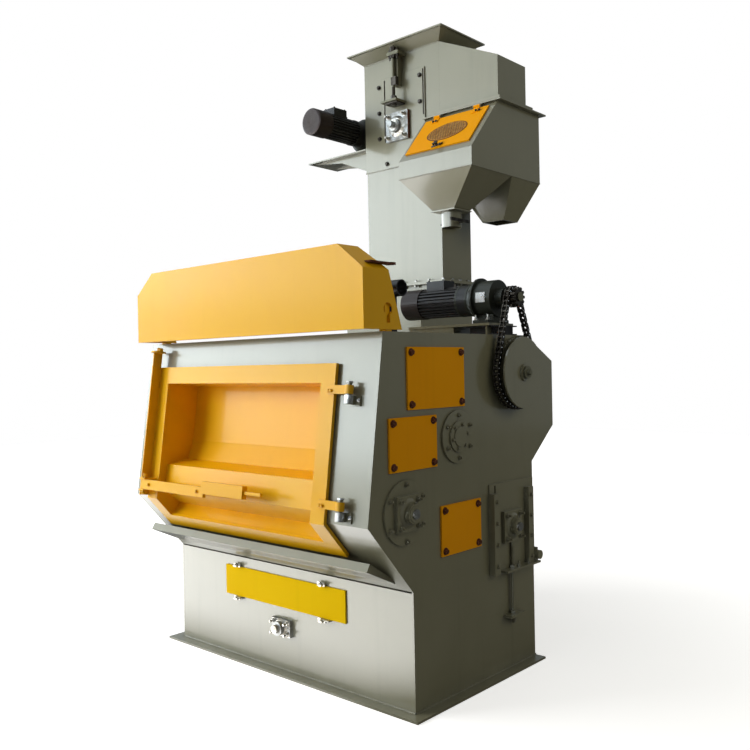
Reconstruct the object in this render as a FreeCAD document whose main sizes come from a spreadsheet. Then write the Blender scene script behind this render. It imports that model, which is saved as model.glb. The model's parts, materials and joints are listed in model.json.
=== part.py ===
import FreeCAD, Part
import math
import os

# Tumble belt shot blasting machine, millimetres, +Z up.
# The origin is on the floor, on the centre line, in the plane of the lower front plate.
# The door looks to -Y, the chain drive is on the +X side and the elevator stands behind.

V = FreeCAD.Vector
doc = FreeCAD.newDocument("shot_blasting_machine")
sheet = doc.addObject("Spreadsheet::Sheet", "sheet")

DIMENSIONS = [
    ("cabinet_width", 1634), ("plate", 8), ("skin", 6), ("gap", 0.3),
    ("base_depth", 941), ("knee_z", 516), ("nose_y", -271), ("nose_z", 823),
    ("brow_y", -161), ("roof_z", 1600), ("roof_back_in", 33),
    ("bulge_out", 209), ("bulge_top_z", 1472), ("bulge_low_z", 1143), ("waist_z", 975),
    ("toe_width", 59), ("toe_thick", 10),
    ("door_left_margin", 127), ("door_right_margin", 225), ("door_top_z", 1474), ("door_low_z", 676),
    ("door_border", 66), ("door_frame_thick", 16), ("door_standoff", 5),
    ("tray_depth", 165), ("tray_sheet", 5), ("shelf_up", 166), ("shelf_rise", 33), ("crease_up", 297),
    ("crease_depth", 24), ("shelf_setback", 22),
    ("tray_clear", 12), ("tray_foot_rise", 14), ("tray_nose_rise", 30),
    ("hinge_margin", 127), ("hinge_out", 34), ("hinge_pin_radius", 11), ("hinge_pin_length", 78),
    ("hinge_upper_up", 525), ("hinge_lower_up", 54), ("hinge_leaf_reach", 34),
    ("lip_height", 50), ("lip_thick", 6), ("lip_top_up", 730),
    ("latch_out", 74), ("latch_up", 60), ("latch_length", 500), ("latch_section", 48),
    ("latch_margin", 40), ("latch_grip_length", 288), ("latch_grip_up", 82), ("latch_grip_section", 57),
    ("latch_tail_length", 112), ("latch_tail_section", 14), ("latch_pin_radius", 7), ("clevis_half", 22),
    ("hood_left_margin", 31), ("hood_right_margin", 5), ("hood_front_y", -266), ("hood_depth", 232),
    ("hood_low_z", 1608), ("hood_shoulder_drop", 106), ("hood_top_z", 1956), ("hood_hip", 136),
    ("hood_back_slope", 112), ("hood_sheet", 4),
    ("gutter_left_margin", 17), ("gutter_right_margin", 75), ("gutter_out", 176), ("gutter_lip", 42),
    ("gutter_root_z", 545), ("gutter_sheet", 4),
    ("panel_width", 852), ("panel_height", 148), ("panel_low_z", 313), ("panel_thick", 8),
    ("roller_y", -47), ("roller_z", 856), ("roller_radius", 88),
    ("drive_y", 761), ("drive_z", 1418), ("drive_radius", 100),
    ("tension_y", 725), ("tension_z", 688), ("tension_radius", 70),
    ("disc_y", 323), ("disc_z", 1143), ("disc_radius", 325), ("disc_thick", 30),
    ("belt_thick", 12), ("belt_width", 1420), ("shaft_radius", 20), ("hole_clear", 5),
    ("flange_radius", 118), ("front_flange_radius", 135), ("flange_thick", 10),
    ("bearing_square", 150), ("bearing_thick", 18), ("bearing_hub_radius", 40),
    ("bearing_hub_length", 30),
    ("chain_pitch", 25.4), ("large_teeth", 41), ("small_teeth", 11), ("chain_links", 56),
    ("chain_out", 33), ("sprocket_thick", 14), ("roller_size", 8), ("chain_inner_gap", 16),
    ("link_plate", 3), ("link_half_height", 11),
    ("motor_shaft_radius", 15), ("motor_radius", 78), ("motor_fin_radius", 76), ("motor_core_radius", 66),
    ("motor_length", 419), ("motor_cowl_length", 110), ("motor_ring_length", 73), ("motor_fins", 26),
    ("reducer_radius", 90), ("reducer_flange_radius", 104), ("reducer_cone_length", 37),
    ("reducer_length", 142), ("reducer_neck_radius", 50), ("reducer_neck_length", 41),
    ("reducer_foot_drop", 16), ("small_wheel_offset", 20), ("wheel_disc_out", 32), ("wheel_disc_thick", 8),
    ("stand_box_start", 74), ("stand_box_length", 281), ("stand_half_width", 104), ("stand_plate", 12),
    ("elevator_left_x", -471), ("elevator_right_x", 101), ("column_front_off", 239),
    ("elevator_back_off", 520), ("casing_front_off", 30), ("casing_top_z", 1848),
    ("column_low_z", 1945), ("column_top_z", 2660), ("flange_out", 40), ("flange_bar", 8),
    ("head_top_z", 3326), ("head_step", 10), ("rim_out", 62), ("rim_rise", 52), ("lid_thick", 8),
    ("chute_right_x", 500), ("chute_flange", 14), ("chute_roof_z", 3146),
    ("separator_left_x", 8), ("separator_right_x", 504), ("separator_front_off", 209),
    ("separator_back_off", 651), ("separator_top_z", 2892), ("separator_low_z", 2502),
    ("separator_nose_off", -25), ("separator_nose_z", 2600),
    ("hopper_split_off", 355), ("hopper_low_z", 2312), ("rear_hopper_drop", 28), ("outlet_half", 72),
    ("spout_radius", 55), ("spout_wall", 4), ("spout_length", 92), ("spout_plate_half", 80), ("spout_in", 148),
    ("hatch_width", 436), ("hatch_height", 296), ("hatch_thick", 8), ("hatch_margin", 24),
    ("hatch_down", 40), ("hatch_border", 14),
    ("head_shaft_x", -205), ("head_shaft_z", 2897), ("head_bearing_square", 170),
    ("head_motor_x", -592), ("head_motor_z", 2938), ("head_motor_tail_off", -119),
    ("platform_left_x", -1000), ("platform_thick", 8),
    ("upper_cover_y", -20), ("upper_cover_z", 1276), ("upper_cover_wide", 394), ("upper_cover_tall", 262),
    ("middle_cover_y", -142), ("middle_cover_z", 1026), ("middle_cover_wide", 310),
    ("middle_cover_tall", 222), ("lower_cover_y", 190), ("lower_cover_z", 630),
    ("lower_cover_wide", 294), ("lower_cover_tall", 220),
    ("tension_front", 170), ("tension_back", 205), ("tension_low", 210), ("tension_high", 212),
    ("tension_plate", 8), ("tension_bar", 45), ("tension_bar_out", 26), ("tension_screw_drop", 429),
    ("disc_cap_radius", 70), ("disc_cap_thick", 8), ("tube_radius", 36), ("tube_wall", 5),
    ("tube_y", 60), ("tube_z", 1793), ("tube_margin", 81), ("tube_length", 140),
    ("screw_bearing_z", 218), ("screw_bearing_width", 130),
]

for row, (alias, value) in enumerate(DIMENSIONS, start=1):
    sheet.set("A%d" % row, alias)
    sheet.set("B%d" % row, str(value))
    sheet.setAlias("B%d" % row, alias)
doc.recompute()


def size(alias):
    """One driving dimension, read from the sheet."""
    return float(sheet.get(alias))


def value(text):
    """The number that an expression over the sheet gives."""
    return float(sheet.evalExpression(text))


PIECES = []


def keep(obj, label):
    """Gives a finished sub-part the label that names its file."""
    obj.Label = label
    PIECES.append(obj)
    return obj


def origin_plane(body, role):
    for feature in body.Origin.OriginFeatures:
        if feature.Role == role:
            return feature
    raise RuntimeError("no plane " + role)


def outline_sketch(body, role, points, start="0"):
    """A closed polygon whose corners are bound to the sheet, start away along the normal."""
    sketch = body.newObject("Sketcher::SketchObject", body.Name + "_outline")
    sketch.AttachmentSupport = (origin_plane(body, role), "")
    sketch.MapMode = "FlatFace"
    sketch.setExpression("AttachmentOffset.Base.z", start)
    import Sketcher
    places = [(value(across), value(up)) for across, up in points]
    count = len(places)
    for index, (across, up) in enumerate(places):
        following = places[(index + 1) % count]
        sketch.addGeometry(Part.LineSegment(V(across, up, 0), V(following[0], following[1], 0)))
    for index in range(count):
        sketch.addConstraint(Sketcher.Constraint("Coincident", index, 2, (index + 1) % count, 1))
    for index, (across, up) in enumerate(places):
        for kind, number, text in (("DistanceX", across, points[index][0]),
                                   ("DistanceY", up, points[index][1])):
            mark = sketch.addConstraint(Sketcher.Constraint(kind, -1, 1, index, 1, number))
            sketch.setExpression("Constraints[%d]" % mark, text)
    return sketch


def plate_body(name, role, points, start, thick):
    """A flat plate: an outline padded along the plane's normal from start by thick."""
    body = doc.addObject("PartDesign::Body", name)
    sketch = outline_sketch(body, role, points, start)
    pad = body.newObject("PartDesign::Pad", name + "_pad")
    pad.Profile = sketch
    pad.setExpression("Length", thick)
    doc.recompute()
    return body


def pocket(body, role, points, name):
    """Cuts an outline right through the body, both ways."""
    before = body.Shape.Volume
    sketch = outline_sketch(body, role, points)
    cut = body.newObject("PartDesign::Pocket", name)
    cut.Profile = sketch
    cut.Type = "ThroughAll"
    cut.Midplane = True
    doc.recompute()
    if body.Shape.Volume >= before:
        raise RuntimeError(name + " cuts nothing")
    return cut


def box(name, sides, corner):
    """A box with its three sides and its low corner bound to the sheet."""
    solid = doc.addObject("Part::Box", name)
    for prop, text in zip(("Length", "Width", "Height"), sides):
        solid.setExpression(prop, text)
    for prop, text in zip("xyz", corner):
        solid.setExpression("Placement.Base." + prop, text)
    return solid


TURNS = {"x": FreeCAD.Rotation(V(0, 1, 0), 90), "y": FreeCAD.Rotation(V(1, 0, 0), -90),
         "z": FreeCAD.Rotation()}


def cylinder(name, radius, length, at, axis):
    """A round bar from the point at, along +axis."""
    solid = doc.addObject("Part::Cylinder", name)
    solid.Placement = FreeCAD.Placement(V(0, 0, 0), TURNS[axis])
    solid.setExpression("Radius", radius)
    solid.setExpression("Height", length)
    for prop, text in zip("xyz", at):
        solid.setExpression("Placement.Base." + prop, text)
    return solid


def fuse(name, solids):
    joined = doc.addObject("Part::MultiFuse", name)
    joined.Shapes = solids
    return joined


def cut(name, base, tool):
    result = doc.addObject("Part::Cut", name)
    result.Base = base
    result.Tool = tool
    return result


def shaped(label, shape):
    """A sub-part whose shape is worked out here from the sheet's values."""
    obj = doc.addObject("Part::Feature", label)
    obj.Shape = shape
    return keep(obj, label)


def prism(points, direction):
    """A solid from a closed list of corners, swept along a vector."""
    wire = Part.makePolygon(points + [points[0]])
    return Part.Face(wire).extrude(direction)


def side_prism(points, left, right):
    """A solid from an outline of (y, z) corners, from x = left to x = right."""
    return prism([V(left, y, z) for y, z in points], V(right - left, 0, 0))


def block(low, high):
    return Part.makeBox(high[0] - low[0], high[1] - low[1], high[2] - low[2], V(*low))


def rod(start, end, radius):
    axis = V(*end) - V(*start)
    return Part.makeCylinder(radius, axis.Length, V(*start), axis)


def bent_band(line, thick):
    """The outline of a bent sheet: a line of (y, z) points and its mitred offset to the left."""
    inner = []
    for index, (y, z) in enumerate(line):
        normals = []
        for first, second in ((index - 1, index), (index, index + 1)):
            if first < 0 or second >= len(line):
                continue
            dy = line[second][0] - line[first][0]
            dz = line[second][1] - line[first][1]
            length = math.hypot(dy, dz)
            normals.append((-dz / length, dy / length))
        ny = sum(n[0] for n in normals)
        nz = sum(n[1] for n in normals)
        scale = thick * len(normals) / (ny * ny + nz * nz)
        inner.append((y + ny * scale, z + nz * scale))
    return list(line) + inner[::-1]


# Cabinet

HALF = "sheet.cabinet_width / 2"
half = size("cabinet_width") / 2
inside = half - size("plate")
INSIDE = "(sheet.cabinet_width / 2 - sheet.plate)"


def behind(alias):
    """A y place given by its distance from the foot of the back plate."""
    return size("base_depth") + size(alias)


door_left = -half + size("door_left_margin")
door_right = half - size("door_right_margin")
hinge_x = half - size("hinge_margin")
hood_left = -half + size("hood_left_margin")
hood_right = half - size("hood_right_margin")
hood_shoulder = size("hood_top_z") - size("hood_shoulder_drop")
gutter_left = -half + size("gutter_left_margin")
gutter_right = half - size("gutter_right_margin")
chain_x = half + size("chain_out")
bulge_y = behind("bulge_out")
roof_back_y = size("base_depth") - size("roof_back_in")
casing_front_y = behind("casing_front_off")
separator_front_y = behind("separator_front_off")
separator_back_y = behind("separator_back_off")
separator_nose_y = behind("separator_nose_off")
hopper_split_y = behind("hopper_split_off")

SIDE_OUTLINE = [
    ("0", "sheet.toe_thick"), ("0", "sheet.knee_z"), ("sheet.nose_y", "sheet.nose_z"),
    ("sheet.brow_y", "sheet.roof_z"), ("(sheet.base_depth - sheet.roof_back_in)", "sheet.roof_z"),
    ("(sheet.base_depth + sheet.bulge_out)", "sheet.bulge_top_z"), ("(sheet.base_depth + sheet.bulge_out)", "sheet.bulge_low_z"),
    ("sheet.base_depth", "sheet.waist_z"), ("sheet.base_depth", "sheet.toe_thick"),
]


SHAFTS = [("sheet.roller_y", "sheet.roller_z"), ("sheet.drive_y", "sheet.drive_z"),
          ("sheet.tension_y", "sheet.tension_z"), ("sheet.disc_y", "sheet.disc_z")]


def side_plate(label, start):
    """One side plate with a hole for each of the four shafts."""
    plate = plate_body(label + "_sheet", "YZ_Plane", SIDE_OUTLINE, start, "sheet.plate")
    holes = []
    for number, (y, z) in enumerate(SHAFTS):
        holes.append(cylinder("%s_hole_%d" % (label, number), "sheet.shaft_radius + sheet.hole_clear",
                              "sheet.plate + 2", (start + " - 1", y, z), "x"))
    return keep(cut(label, plate, fuse(label + "_holes", holes)), label)


side_plate("left_side_plate", "-sheet.cabinet_width / 2")
side_plate("right_side_plate", INSIDE)


def base_toe():
    """The flat toe that stands out at the front and both sides, under the plates."""
    outer = [("-%s - sheet.toe_width" % HALF, "-sheet.toe_width"),
             ("%s + sheet.toe_width" % HALF, "-sheet.toe_width"),
             ("%s + sheet.toe_width" % HALF, "sheet.base_depth"),
             ("-%s - sheet.toe_width" % HALF, "sheet.base_depth")]
    body = plate_body("base_toe", "XY_Plane", outer, "0", "sheet.toe_thick")
    inner = [("-%s + sheet.toe_width" % HALF, "sheet.toe_width"),
             ("%s - sheet.toe_width" % HALF, "sheet.toe_width"),
             ("%s - sheet.toe_width" % HALF, "sheet.base_depth - sheet.toe_width"),
             ("-%s + sheet.toe_width" % HALF, "sheet.base_depth - sheet.toe_width")]
    pocket(body, "XY_Plane", inner, "base_toe_opening")
    return keep(body, "base_toe")


base_toe()

# The front above the knee is one bent sheet with the door opening in it.
nose = (size("nose_y"), size("nose_z"))
brow = (size("brow_y"), size("roof_z"))
upper_run = math.hypot(brow[0] - nose[0], brow[1] - nose[1])
UP = ((brow[0] - nose[0]) / upper_run, (brow[1] - nose[1]) / upper_run)
OUT = (-UP[1], UP[0])
lower_run = math.hypot(nose[0], nose[1] - size("knee_z"))
DOWN = (-nose[0] / lower_run, (size("knee_z") - nose[1]) / lower_run)
LOW_OUT = (DOWN[1], -DOWN[0])


def on_face(up, out):
    """A (y, z) point: up along the sloping face from the nose, out in front of it."""
    if up >= 0:
        return (nose[0] + UP[0] * up + OUT[0] * out, nose[1] + UP[1] * up + OUT[1] * out)
    return (nose[0] - DOWN[0] * up + LOW_OUT[0] * out, nose[1] - DOWN[1] * up + LOW_OUT[1] * out)


def at_nose(out):
    """The corner of a sheet that lies out in front of both faces at the nose."""
    scale = 1 + OUT[0] * LOW_OUT[0] + OUT[1] * LOW_OUT[1]
    return (nose[0] + (OUT[0] + LOW_OUT[0]) * out / scale,
            nose[1] + (OUT[1] + LOW_OUT[1]) * out / scale)


door_top_up = (size("door_top_z") - nose[1]) / UP[1]
door_low_up = -(size("door_low_z") - nose[1]) / DOWN[1]
opening_left = door_left + size("door_border")
opening_right = door_right - size("door_border")
opening_top_up = door_top_up - size("door_border")
opening_low_up = door_low_up + size("door_border")


def front_frame():
    line = [(0, size("knee_z")), nose, brow]
    band = side_prism(bent_band(line, -size("skin")), -inside, inside)
    reach = 400
    window = [on_face(opening_top_up, reach), on_face(opening_top_up, -reach),
              on_face(opening_low_up, -reach), on_face(opening_low_up, reach)]
    return shaped("front_frame", band.cut(side_prism(window, opening_left, opening_right)))


front_frame()


def lower_front_plate():
    outline = [("-" + INSIDE, "sheet.toe_thick"), (INSIDE, "sheet.toe_thick"),
               (INSIDE, "sheet.knee_z - sheet.skin"), ("-" + INSIDE, "sheet.knee_z - sheet.skin")]
    body = plate_body("front_plate_sheet", "XZ_Plane", outline, "-sheet.skin", "sheet.skin")
    border = "30"
    window = [("-sheet.panel_width / 2 + " + border, "sheet.panel_low_z + " + border),
              ("sheet.panel_width / 2 - " + border, "sheet.panel_low_z + " + border),
              ("sheet.panel_width / 2 - " + border, "sheet.panel_low_z + sheet.panel_height - " + border),
              ("-sheet.panel_width / 2 + " + border,
               "sheet.panel_low_z + sheet.panel_height - " + border)]
    pocket(body, "XZ_Plane", window, "access_window")
    rests = []
    for number, side in enumerate(("-sheet.panel_width / 2 + 90", "sheet.panel_width / 2 - 130")):
        rests.append(box("cover_rest_%d" % number, ("40", "26", "6"),
                         (side, "-26", "sheet.panel_low_z - 6")))
    return keep(fuse("front_plate_with_rests", [body] + rests), "lower_front_plate")


lower_front_plate()


def roof_and_back():
    """Roof, sloping shoulder, bulge and lower back as one bent sheet, notched round the elevator."""
    line = [(brow[0] + size("skin") * 2, size("roof_z")), (roof_back_y, size("roof_z")),
            (bulge_y, size("bulge_top_z")), (bulge_y, size("bulge_low_z")),
            (size("base_depth"), size("waist_z")), (size("base_depth"), size("toe_thick"))]
    band = side_prism(bent_band(line, -size("skin")), -inside, inside)
    notch = block((size("elevator_left_x") - size("gap"), casing_front_y - size("gap"),
                   size("waist_z") - size("skin")),
                  (size("elevator_right_x") + size("gap"), behind("elevator_back_off"), size("casing_top_z")))
    return shaped("roof_and_back", band.cut(notch))


roof_and_back()

# Yellow cover over the lower front window.
keep(box("access_cover_sheet", ("sheet.panel_width", "sheet.panel_thick", "sheet.panel_height"),
         ("-sheet.panel_width / 2", "-sheet.panel_thick", "sheet.panel_low_z")), "access_cover")

# Drip gutter under the door: a sloping plate with a turned lip and two end caps.


def drip_gutter():
    root_z = size("gutter_root_z")
    root_y = -(root_z - size("knee_z")) * DOWN[0] / -DOWN[1]
    root = (root_y, root_z)
    out = size("gutter_out")
    rise = out * 0.47
    edge = (root[0] - out, root[1] + rise)
    lip = (edge[0] + size("gutter_lip") * 0.45, edge[1] + size("gutter_lip") * 0.75)
    sheet_line = [lip, edge, root]
    trough = side_prism(bent_band(sheet_line, size("gutter_sheet")),
                        gutter_left, gutter_right)
    pieces = [trough]
    for left in (gutter_left, gutter_right - size("gutter_sheet")):
        high = (root[0] - 30, root[1] + 30 * DOWN[1] / -DOWN[0])
        pieces.append(side_prism([lip, edge, root, high], left, left + size("gutter_sheet")))
    behind = side_prism([(0, size("knee_z")), nose, (0, nose[1])], -half, half)
    return shaped("drip_gutter", pieces[0].fuse(pieces[1:]).cut(behind).removeSplitter())


drip_gutter()

# Yellow hood over the wheel: a front sheet with cut corners, side walls and a top.


def hood_outline(inset):
    left = hood_left + inset
    right = hood_right - inset
    top = size("hood_top_z") - inset
    shoulder = hood_shoulder - inset * 0.4
    low = size("hood_low_z")
    hip = size("hood_hip")
    return [(left, low), (right, low), (right, shoulder), (right - hip, top),
            (left + hip, top), (left, shoulder)]


def wheel_hood():
    front = size("hood_front_y")
    depth = size("hood_depth")
    wall = size("hood_sheet")
    outer = prism([V(x, front, z) for x, z in hood_outline(0)], V(0, depth, 0))
    inner = prism([V(x, front + wall, z - 1 if z <= size("hood_low_z") else z)
                   for x, z in hood_outline(wall)], V(0, depth, 0))
    shell = outer.cut(inner)
    slope = size("hood_back_slope")
    tall = size("hood_top_z") - size("hood_low_z")
    back = [(front + depth, size("hood_low_z") - 1), (front + depth - slope, size("hood_top_z") + 1),
            (front + depth + tall, size("hood_top_z") + 1), (front + depth + tall, size("hood_low_z") - 1)]
    shell = shell.cut(side_prism(back, hood_left - 1, hood_right + 1))
    lip = block((hood_left + wall, front + wall, size("hood_low_z")),
                (hood_right - wall, front + 26, size("hood_low_z") + wall))
    cleats = []
    for x0 in (hood_left + wall, hood_right - wall - 40):
        cleats.append(block((x0, front + 140, size("roof_z")),
                            (x0 + 40, front + 170, hood_shoulder - 60)))
    hole_y = front + depth * 0.63
    hole_z = size("hood_low_z") + tall * 0.24
    keyhole = [Part.makeCylinder(26, 4 * wall, V(hood_right - 3 * wall, hole_y, hole_z), V(1, 0, 0)),
               block((hood_right - 3 * wall, hole_y - 12, hole_z - 56), (hood_right + wall, hole_y + 12, hole_z))]
    return shaped("wheel_hood", shell.fuse([lip] + cleats).cut(keyhole).removeSplitter())


wheel_hood()


def feed_tube():
    """The end of a tube behind the hood, on a web that stands on the roof."""
    y = size("tube_y")
    z = size("tube_z")
    right = half - size("tube_margin")
    left = right - size("tube_length")
    outer = rod((left, y, z), (right, y, z), size("tube_radius"))
    web = block((left + 40, y - 12, size("roof_z")), (right - 40, y + 12, z))
    bore = rod((left - 1, y, z), (right + 1, y, z), size("tube_radius") - size("tube_wall"))
    return shaped("feed_tube", outer.fuse(web).cut(bore).removeSplitter())


feed_tube()

# Door: a frame round a deep tray that steps forward at a shelf.


def door_frame():
    low = size("door_standoff")
    high = low + size("door_frame_thick")
    outline = [on_face(door_top_up, low), on_face(door_top_up, high), at_nose(high),
               on_face(door_low_up, high), on_face(door_low_up, low), at_nose(low)]
    plate = side_prism(outline, door_left, door_right)
    reach = 400
    grow = size("tray_sheet") + size("tray_clear")
    window = [on_face(opening_top_up - grow, reach), on_face(opening_top_up - grow, -reach),
              on_face(opening_low_up + grow, -reach), on_face(opening_low_up + grow, reach)]
    hole = side_prism(window, opening_left + grow, opening_right - grow)
    return plate.cut(hole)


def tray_line(top_up, low_up, depth, setback):
    """The tray's section inside the frame, from its top edge to its bottom edge."""
    shelf = size("shelf_up")
    out = size("door_standoff")
    step = at_nose(-setback)
    low_back = on_face(low_up + size("tray_foot_rise"), -depth * 0.34)
    return [on_face(top_up, out), on_face(top_up, -depth), on_face(size("crease_up"), -depth),
            on_face(shelf + size("shelf_rise"), -depth + size("crease_depth")), on_face(shelf, -setback),
            (step[0], step[1] + size("tray_nose_rise")), low_back, on_face(low_up, out)]


def door_tray():
    grow = size("tray_clear")
    sheet_thick = size("tray_sheet")
    line = tray_line(opening_top_up - grow, opening_low_up + grow,
                     size("tray_depth"), size("shelf_setback"))
    left = opening_left + grow
    right = opening_right - grow
    body = side_prism(bent_band(line, sheet_thick), left, right)
    ends = []
    closing = [line[0]] + line[1:] + [at_nose(size("door_standoff"))]
    for x0 in (left, right - sheet_thick):
        ends.append(side_prism(closing, x0, x0 + sheet_thick))
    return shaped("door_tray", body.fuse(ends).removeSplitter())


door_tray()


def on_face_point(x, up, out):
    y, z = on_face(up, out)
    return (x, y, z)


def door_lip():
    """The upright lip along the free edge of the door, with a round cap on its top end."""
    base_out = size("door_standoff") + size("door_frame_thick")
    top_out = base_out + size("lip_height")
    outline = [on_face(4, base_out), on_face(size("lip_top_up"), base_out),
               on_face(size("lip_top_up"), top_out), on_face(4, top_out)]
    x0 = door_left
    bar = side_prism(outline, x0, x0 + size("lip_thick"))
    cap_start = on_face_point(x0 + 6, size("lip_top_up") - 0.001, base_out + size("lip_height") / 2)
    cap_end = on_face_point(x0 + 6, size("lip_top_up") + 7, base_out + size("lip_height") / 2)
    return bar.fuse(rod(cap_start, cap_end, 38))


def face_rod(x, up0, up1, out, radius):
    """A round bar along the slope of the upper face."""
    base = on_face(0, out)
    ends = [(x, base[0] + UP[0] * up, base[1] + UP[1] * up) for up in (up0, up1)]
    return rod(ends[0], ends[1], radius)


def oriented_block(x0, x1, up0, up1, out0, out1):
    """A block square to the upper face of the front."""
    corners = [on_face(up0, out0), on_face(up1, out0), on_face(up1, out1), on_face(up0, out1)]
    return side_prism(corners, x0, x1)


def door_hinges():
    """Leaves on the door and knuckles on the cabinet, with a pin through each pair."""
    pin_radius = size("hinge_pin_radius")
    knuckle = pin_radius + 7
    out = size("hinge_out")
    x = hinge_x
    face = size("door_standoff") + size("door_frame_thick")
    leaves = []
    knuckles = []
    for up in (size("hinge_upper_up"), size("hinge_lower_up")):
        half_length = size("hinge_pin_length") / 2
        top = on_face_point(x, up + half_length, out)
        middle = on_face_point(x, up, out)
        low = on_face_point(x, up - half_length, out)
        leaf = oriented_block(door_right - size("hinge_leaf_reach"), x, up + 3, up + half_length, face, face + 12)
        eye = rod(on_face_point(x, up + 3, out), top, knuckle)
        leaf = leaf.fuse(eye).cut(rod(middle, on_face_point(x, up + 60, out), pin_radius + 0.1))
        leaves.append(leaf)
        fixed = rod(low, on_face_point(x, up - 1, out), knuckle)
        web = oriented_block(x - 10, x + 10, up - half_length, up - 1, 0, out)
        foot = oriented_block(x - 22, x + 40, up - half_length - 5, up - 1, 0, 7)
        pin = rod(on_face_point(x, up - 2, out), on_face_point(x, up + half_length + 10, out), pin_radius)
        knuckles.append(fixed.fuse([web, foot, pin]).removeSplitter())
    shaped("cabinet_hinge_knuckles", Part.makeCompound(knuckles))
    return leaves


def latch():
    """A long lever across the foot of the door, pinned in a clevis, with a grip and a thin tail."""
    out = size("latch_out")
    up = size("latch_up")
    half_section = size("latch_section") / 2
    x0 = door_left + size("latch_margin")
    x1 = x0 + size("latch_length")
    x2 = x1 + size("latch_grip_length")
    reach = size("clevis_half")
    pin_radius = size("latch_pin_radius")
    base_out = size("door_standoff") + size("door_frame_thick")
    clevis = [oriented_block(x0 - reach, x0 + reach, up + half_section + 1, up + half_section + 8,
                             base_out, out + 18),
              oriented_block(x0 - reach, x0 + reach, up - half_section - 8, up - half_section - 1,
                             base_out, out + 18)]
    pin = face_rod(x0, up - half_section - 12, up + half_section + 12, out, pin_radius)
    lever = oriented_block(x0 - 16, x1, up - half_section, up + half_section, out - 8, out + 8)
    grip_up = size("latch_grip_up")
    grip_half = size("latch_grip_section") / 2
    grip = oriented_block(x1 - 12, x2, grip_up - grip_half, grip_up + grip_half, out - 14, out + 14)
    tail_half = size("latch_tail_section") / 2
    tail = oriented_block(x2 - 10, x2 + size("latch_tail_length"), grip_up - tail_half, grip_up + tail_half,
                          out - 5, out + 5)
    lever = lever.fuse([grip, tail]).cut(face_rod(x0, up - 60, up + 60, out, pin_radius + 0.1))
    shaped("latch_lever", lever.removeSplitter())
    return clevis + [pin]


door_fittings = [door_lip()] + door_hinges() + latch()
shaped("door_frame", door_frame().fuse(door_fittings).removeSplitter())

# Side furniture: yellow covers, bearing flanges, bearings and belt tension units.


def side_cover(name):
    return box(name, ("sheet.panel_thick", "sheet.%s_wide" % name, "sheet.%s_tall" % name),
               (HALF, "sheet.%s_y" % name, "sheet.%s_z" % name))


keep(fuse("three_side_covers", [side_cover("upper_cover"), side_cover("middle_cover"),
                                side_cover("lower_cover")]), "side_covers")


def both_sides(make):
    """The same piece on the right side and mirrored on the left."""
    right = make()
    return [right, right.mirror(V(0, 0, 0), V(1, 0, 0))]


def flange_bearing(y, z, stand, hub_length):
    """A square flange bearing with a round hub, its base stand off the plate."""
    square = size("bearing_square") / 2
    thick = size("bearing_thick")
    x0 = half + stand
    base = block((x0, y - square, z - square), (x0 + thick, y + square, z + square))
    hub = Part.makeCylinder(size("bearing_hub_radius"), hub_length, V(x0 + thick, y, z), V(1, 0, 0))
    body = base.fuse(hub).removeSplitter()
    return body.cut(Part.makeCylinder(size("shaft_radius") + 0.1, 400, V(x0 - 50, y, z), V(1, 0, 0)))


def round_flange(y, z, radius):
    """A round plate over the shaft hole."""
    disc = Part.makeCylinder(radius, size("flange_thick"), V(half, y, z), V(1, 0, 0))
    return disc.cut(Part.makeCylinder(size("shaft_radius") + 0.1, 60, V(half - 10, y, z), V(1, 0, 0)))


def capped_flange():
    """The flange of an end disc: its cap closes the shaft hole."""
    x = half + size("flange_thick")
    cap = Part.makeCylinder(size("disc_cap_radius"), size("disc_cap_thick"),
                            V(x, size("disc_y"), size("disc_z")), V(1, 0, 0))
    return round_flange(size("disc_y"), size("disc_z"), size("flange_radius")).fuse(cap)


shaped("end_disc_flanges", Part.makeCompound(both_sides(capped_flange)))
shaped("front_roller_flanges", Part.makeCompound(both_sides(
    lambda: round_flange(size("roller_y"), size("roller_z"), size("front_flange_radius")))))


def tension_guide():
    """The plate and the two bars between which the tension bearing is drawn down."""
    y = size("tension_y")
    z = size("tension_z")
    x = half + size("tension_plate")
    bar = size("tension_bar")
    low = z - size("tension_low")
    back = block((half, y - size("tension_front"), low), (x, y + size("tension_back"), z + size("tension_high")))
    bars = []
    for y0 in (y - size("tension_front"), y + size("tension_front") - bar):
        bars.append(block((x, y0, low), (x + size("tension_bar_out"), y0 + bar, z + size("tension_front"))))
    slot = block((half - 1, y - size("tension_front") + bar - 6, z + size("tension_high") - 42),
                 (x + 1, y - size("tension_front") + bar + 6, z + size("tension_high") - 8))
    shaft_hole = Part.makeCylinder(size("shaft_radius") + size("hole_clear"), 40, V(half - 10, y, z), V(1, 0, 0))
    return back.fuse(bars).removeSplitter().cut([shaft_hole, slot])


def tension_screw():
    y = size("tension_y")
    z = size("tension_z")
    out = half + 48
    x = half + size("tension_plate") + size("bearing_thick") / 2
    low = z - size("tension_low")
    upper = block((half, y - 91, low), (out, y + size("tension_back"), low + 10))
    web = block((half, y + size("tension_front") + 1, low), (out, y + size("tension_front") + 9, low + 80))
    lower_z = z - size("tension_screw_drop")
    lower = block((half, y - 60, lower_z), (out, y + 60, lower_z + 12))
    screw = rod((x, y, lower_z - 36), (x, y, z - size("bearing_square") / 2 - size("gap")), 9)
    return upper.fuse([web, lower, screw]).removeSplitter()


shaped("tension_units", Part.makeCompound(both_sides(
    lambda: tension_guide().fuse(tension_screw()).removeSplitter())))

# Inside: rollers, end discs and the rubber crawler belt.


def roller(y, z, radius, right_end, left_end):
    half_belt = size("belt_width") / 2
    drum = Part.makeCylinder(radius, 2 * half_belt, V(-half_belt, y, z), V(1, 0, 0))
    shaft = Part.makeCylinder(size("shaft_radius"), right_end - left_end, V(left_end, y, z), V(1, 0, 0))
    return drum.fuse(shaft).removeSplitter()


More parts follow.
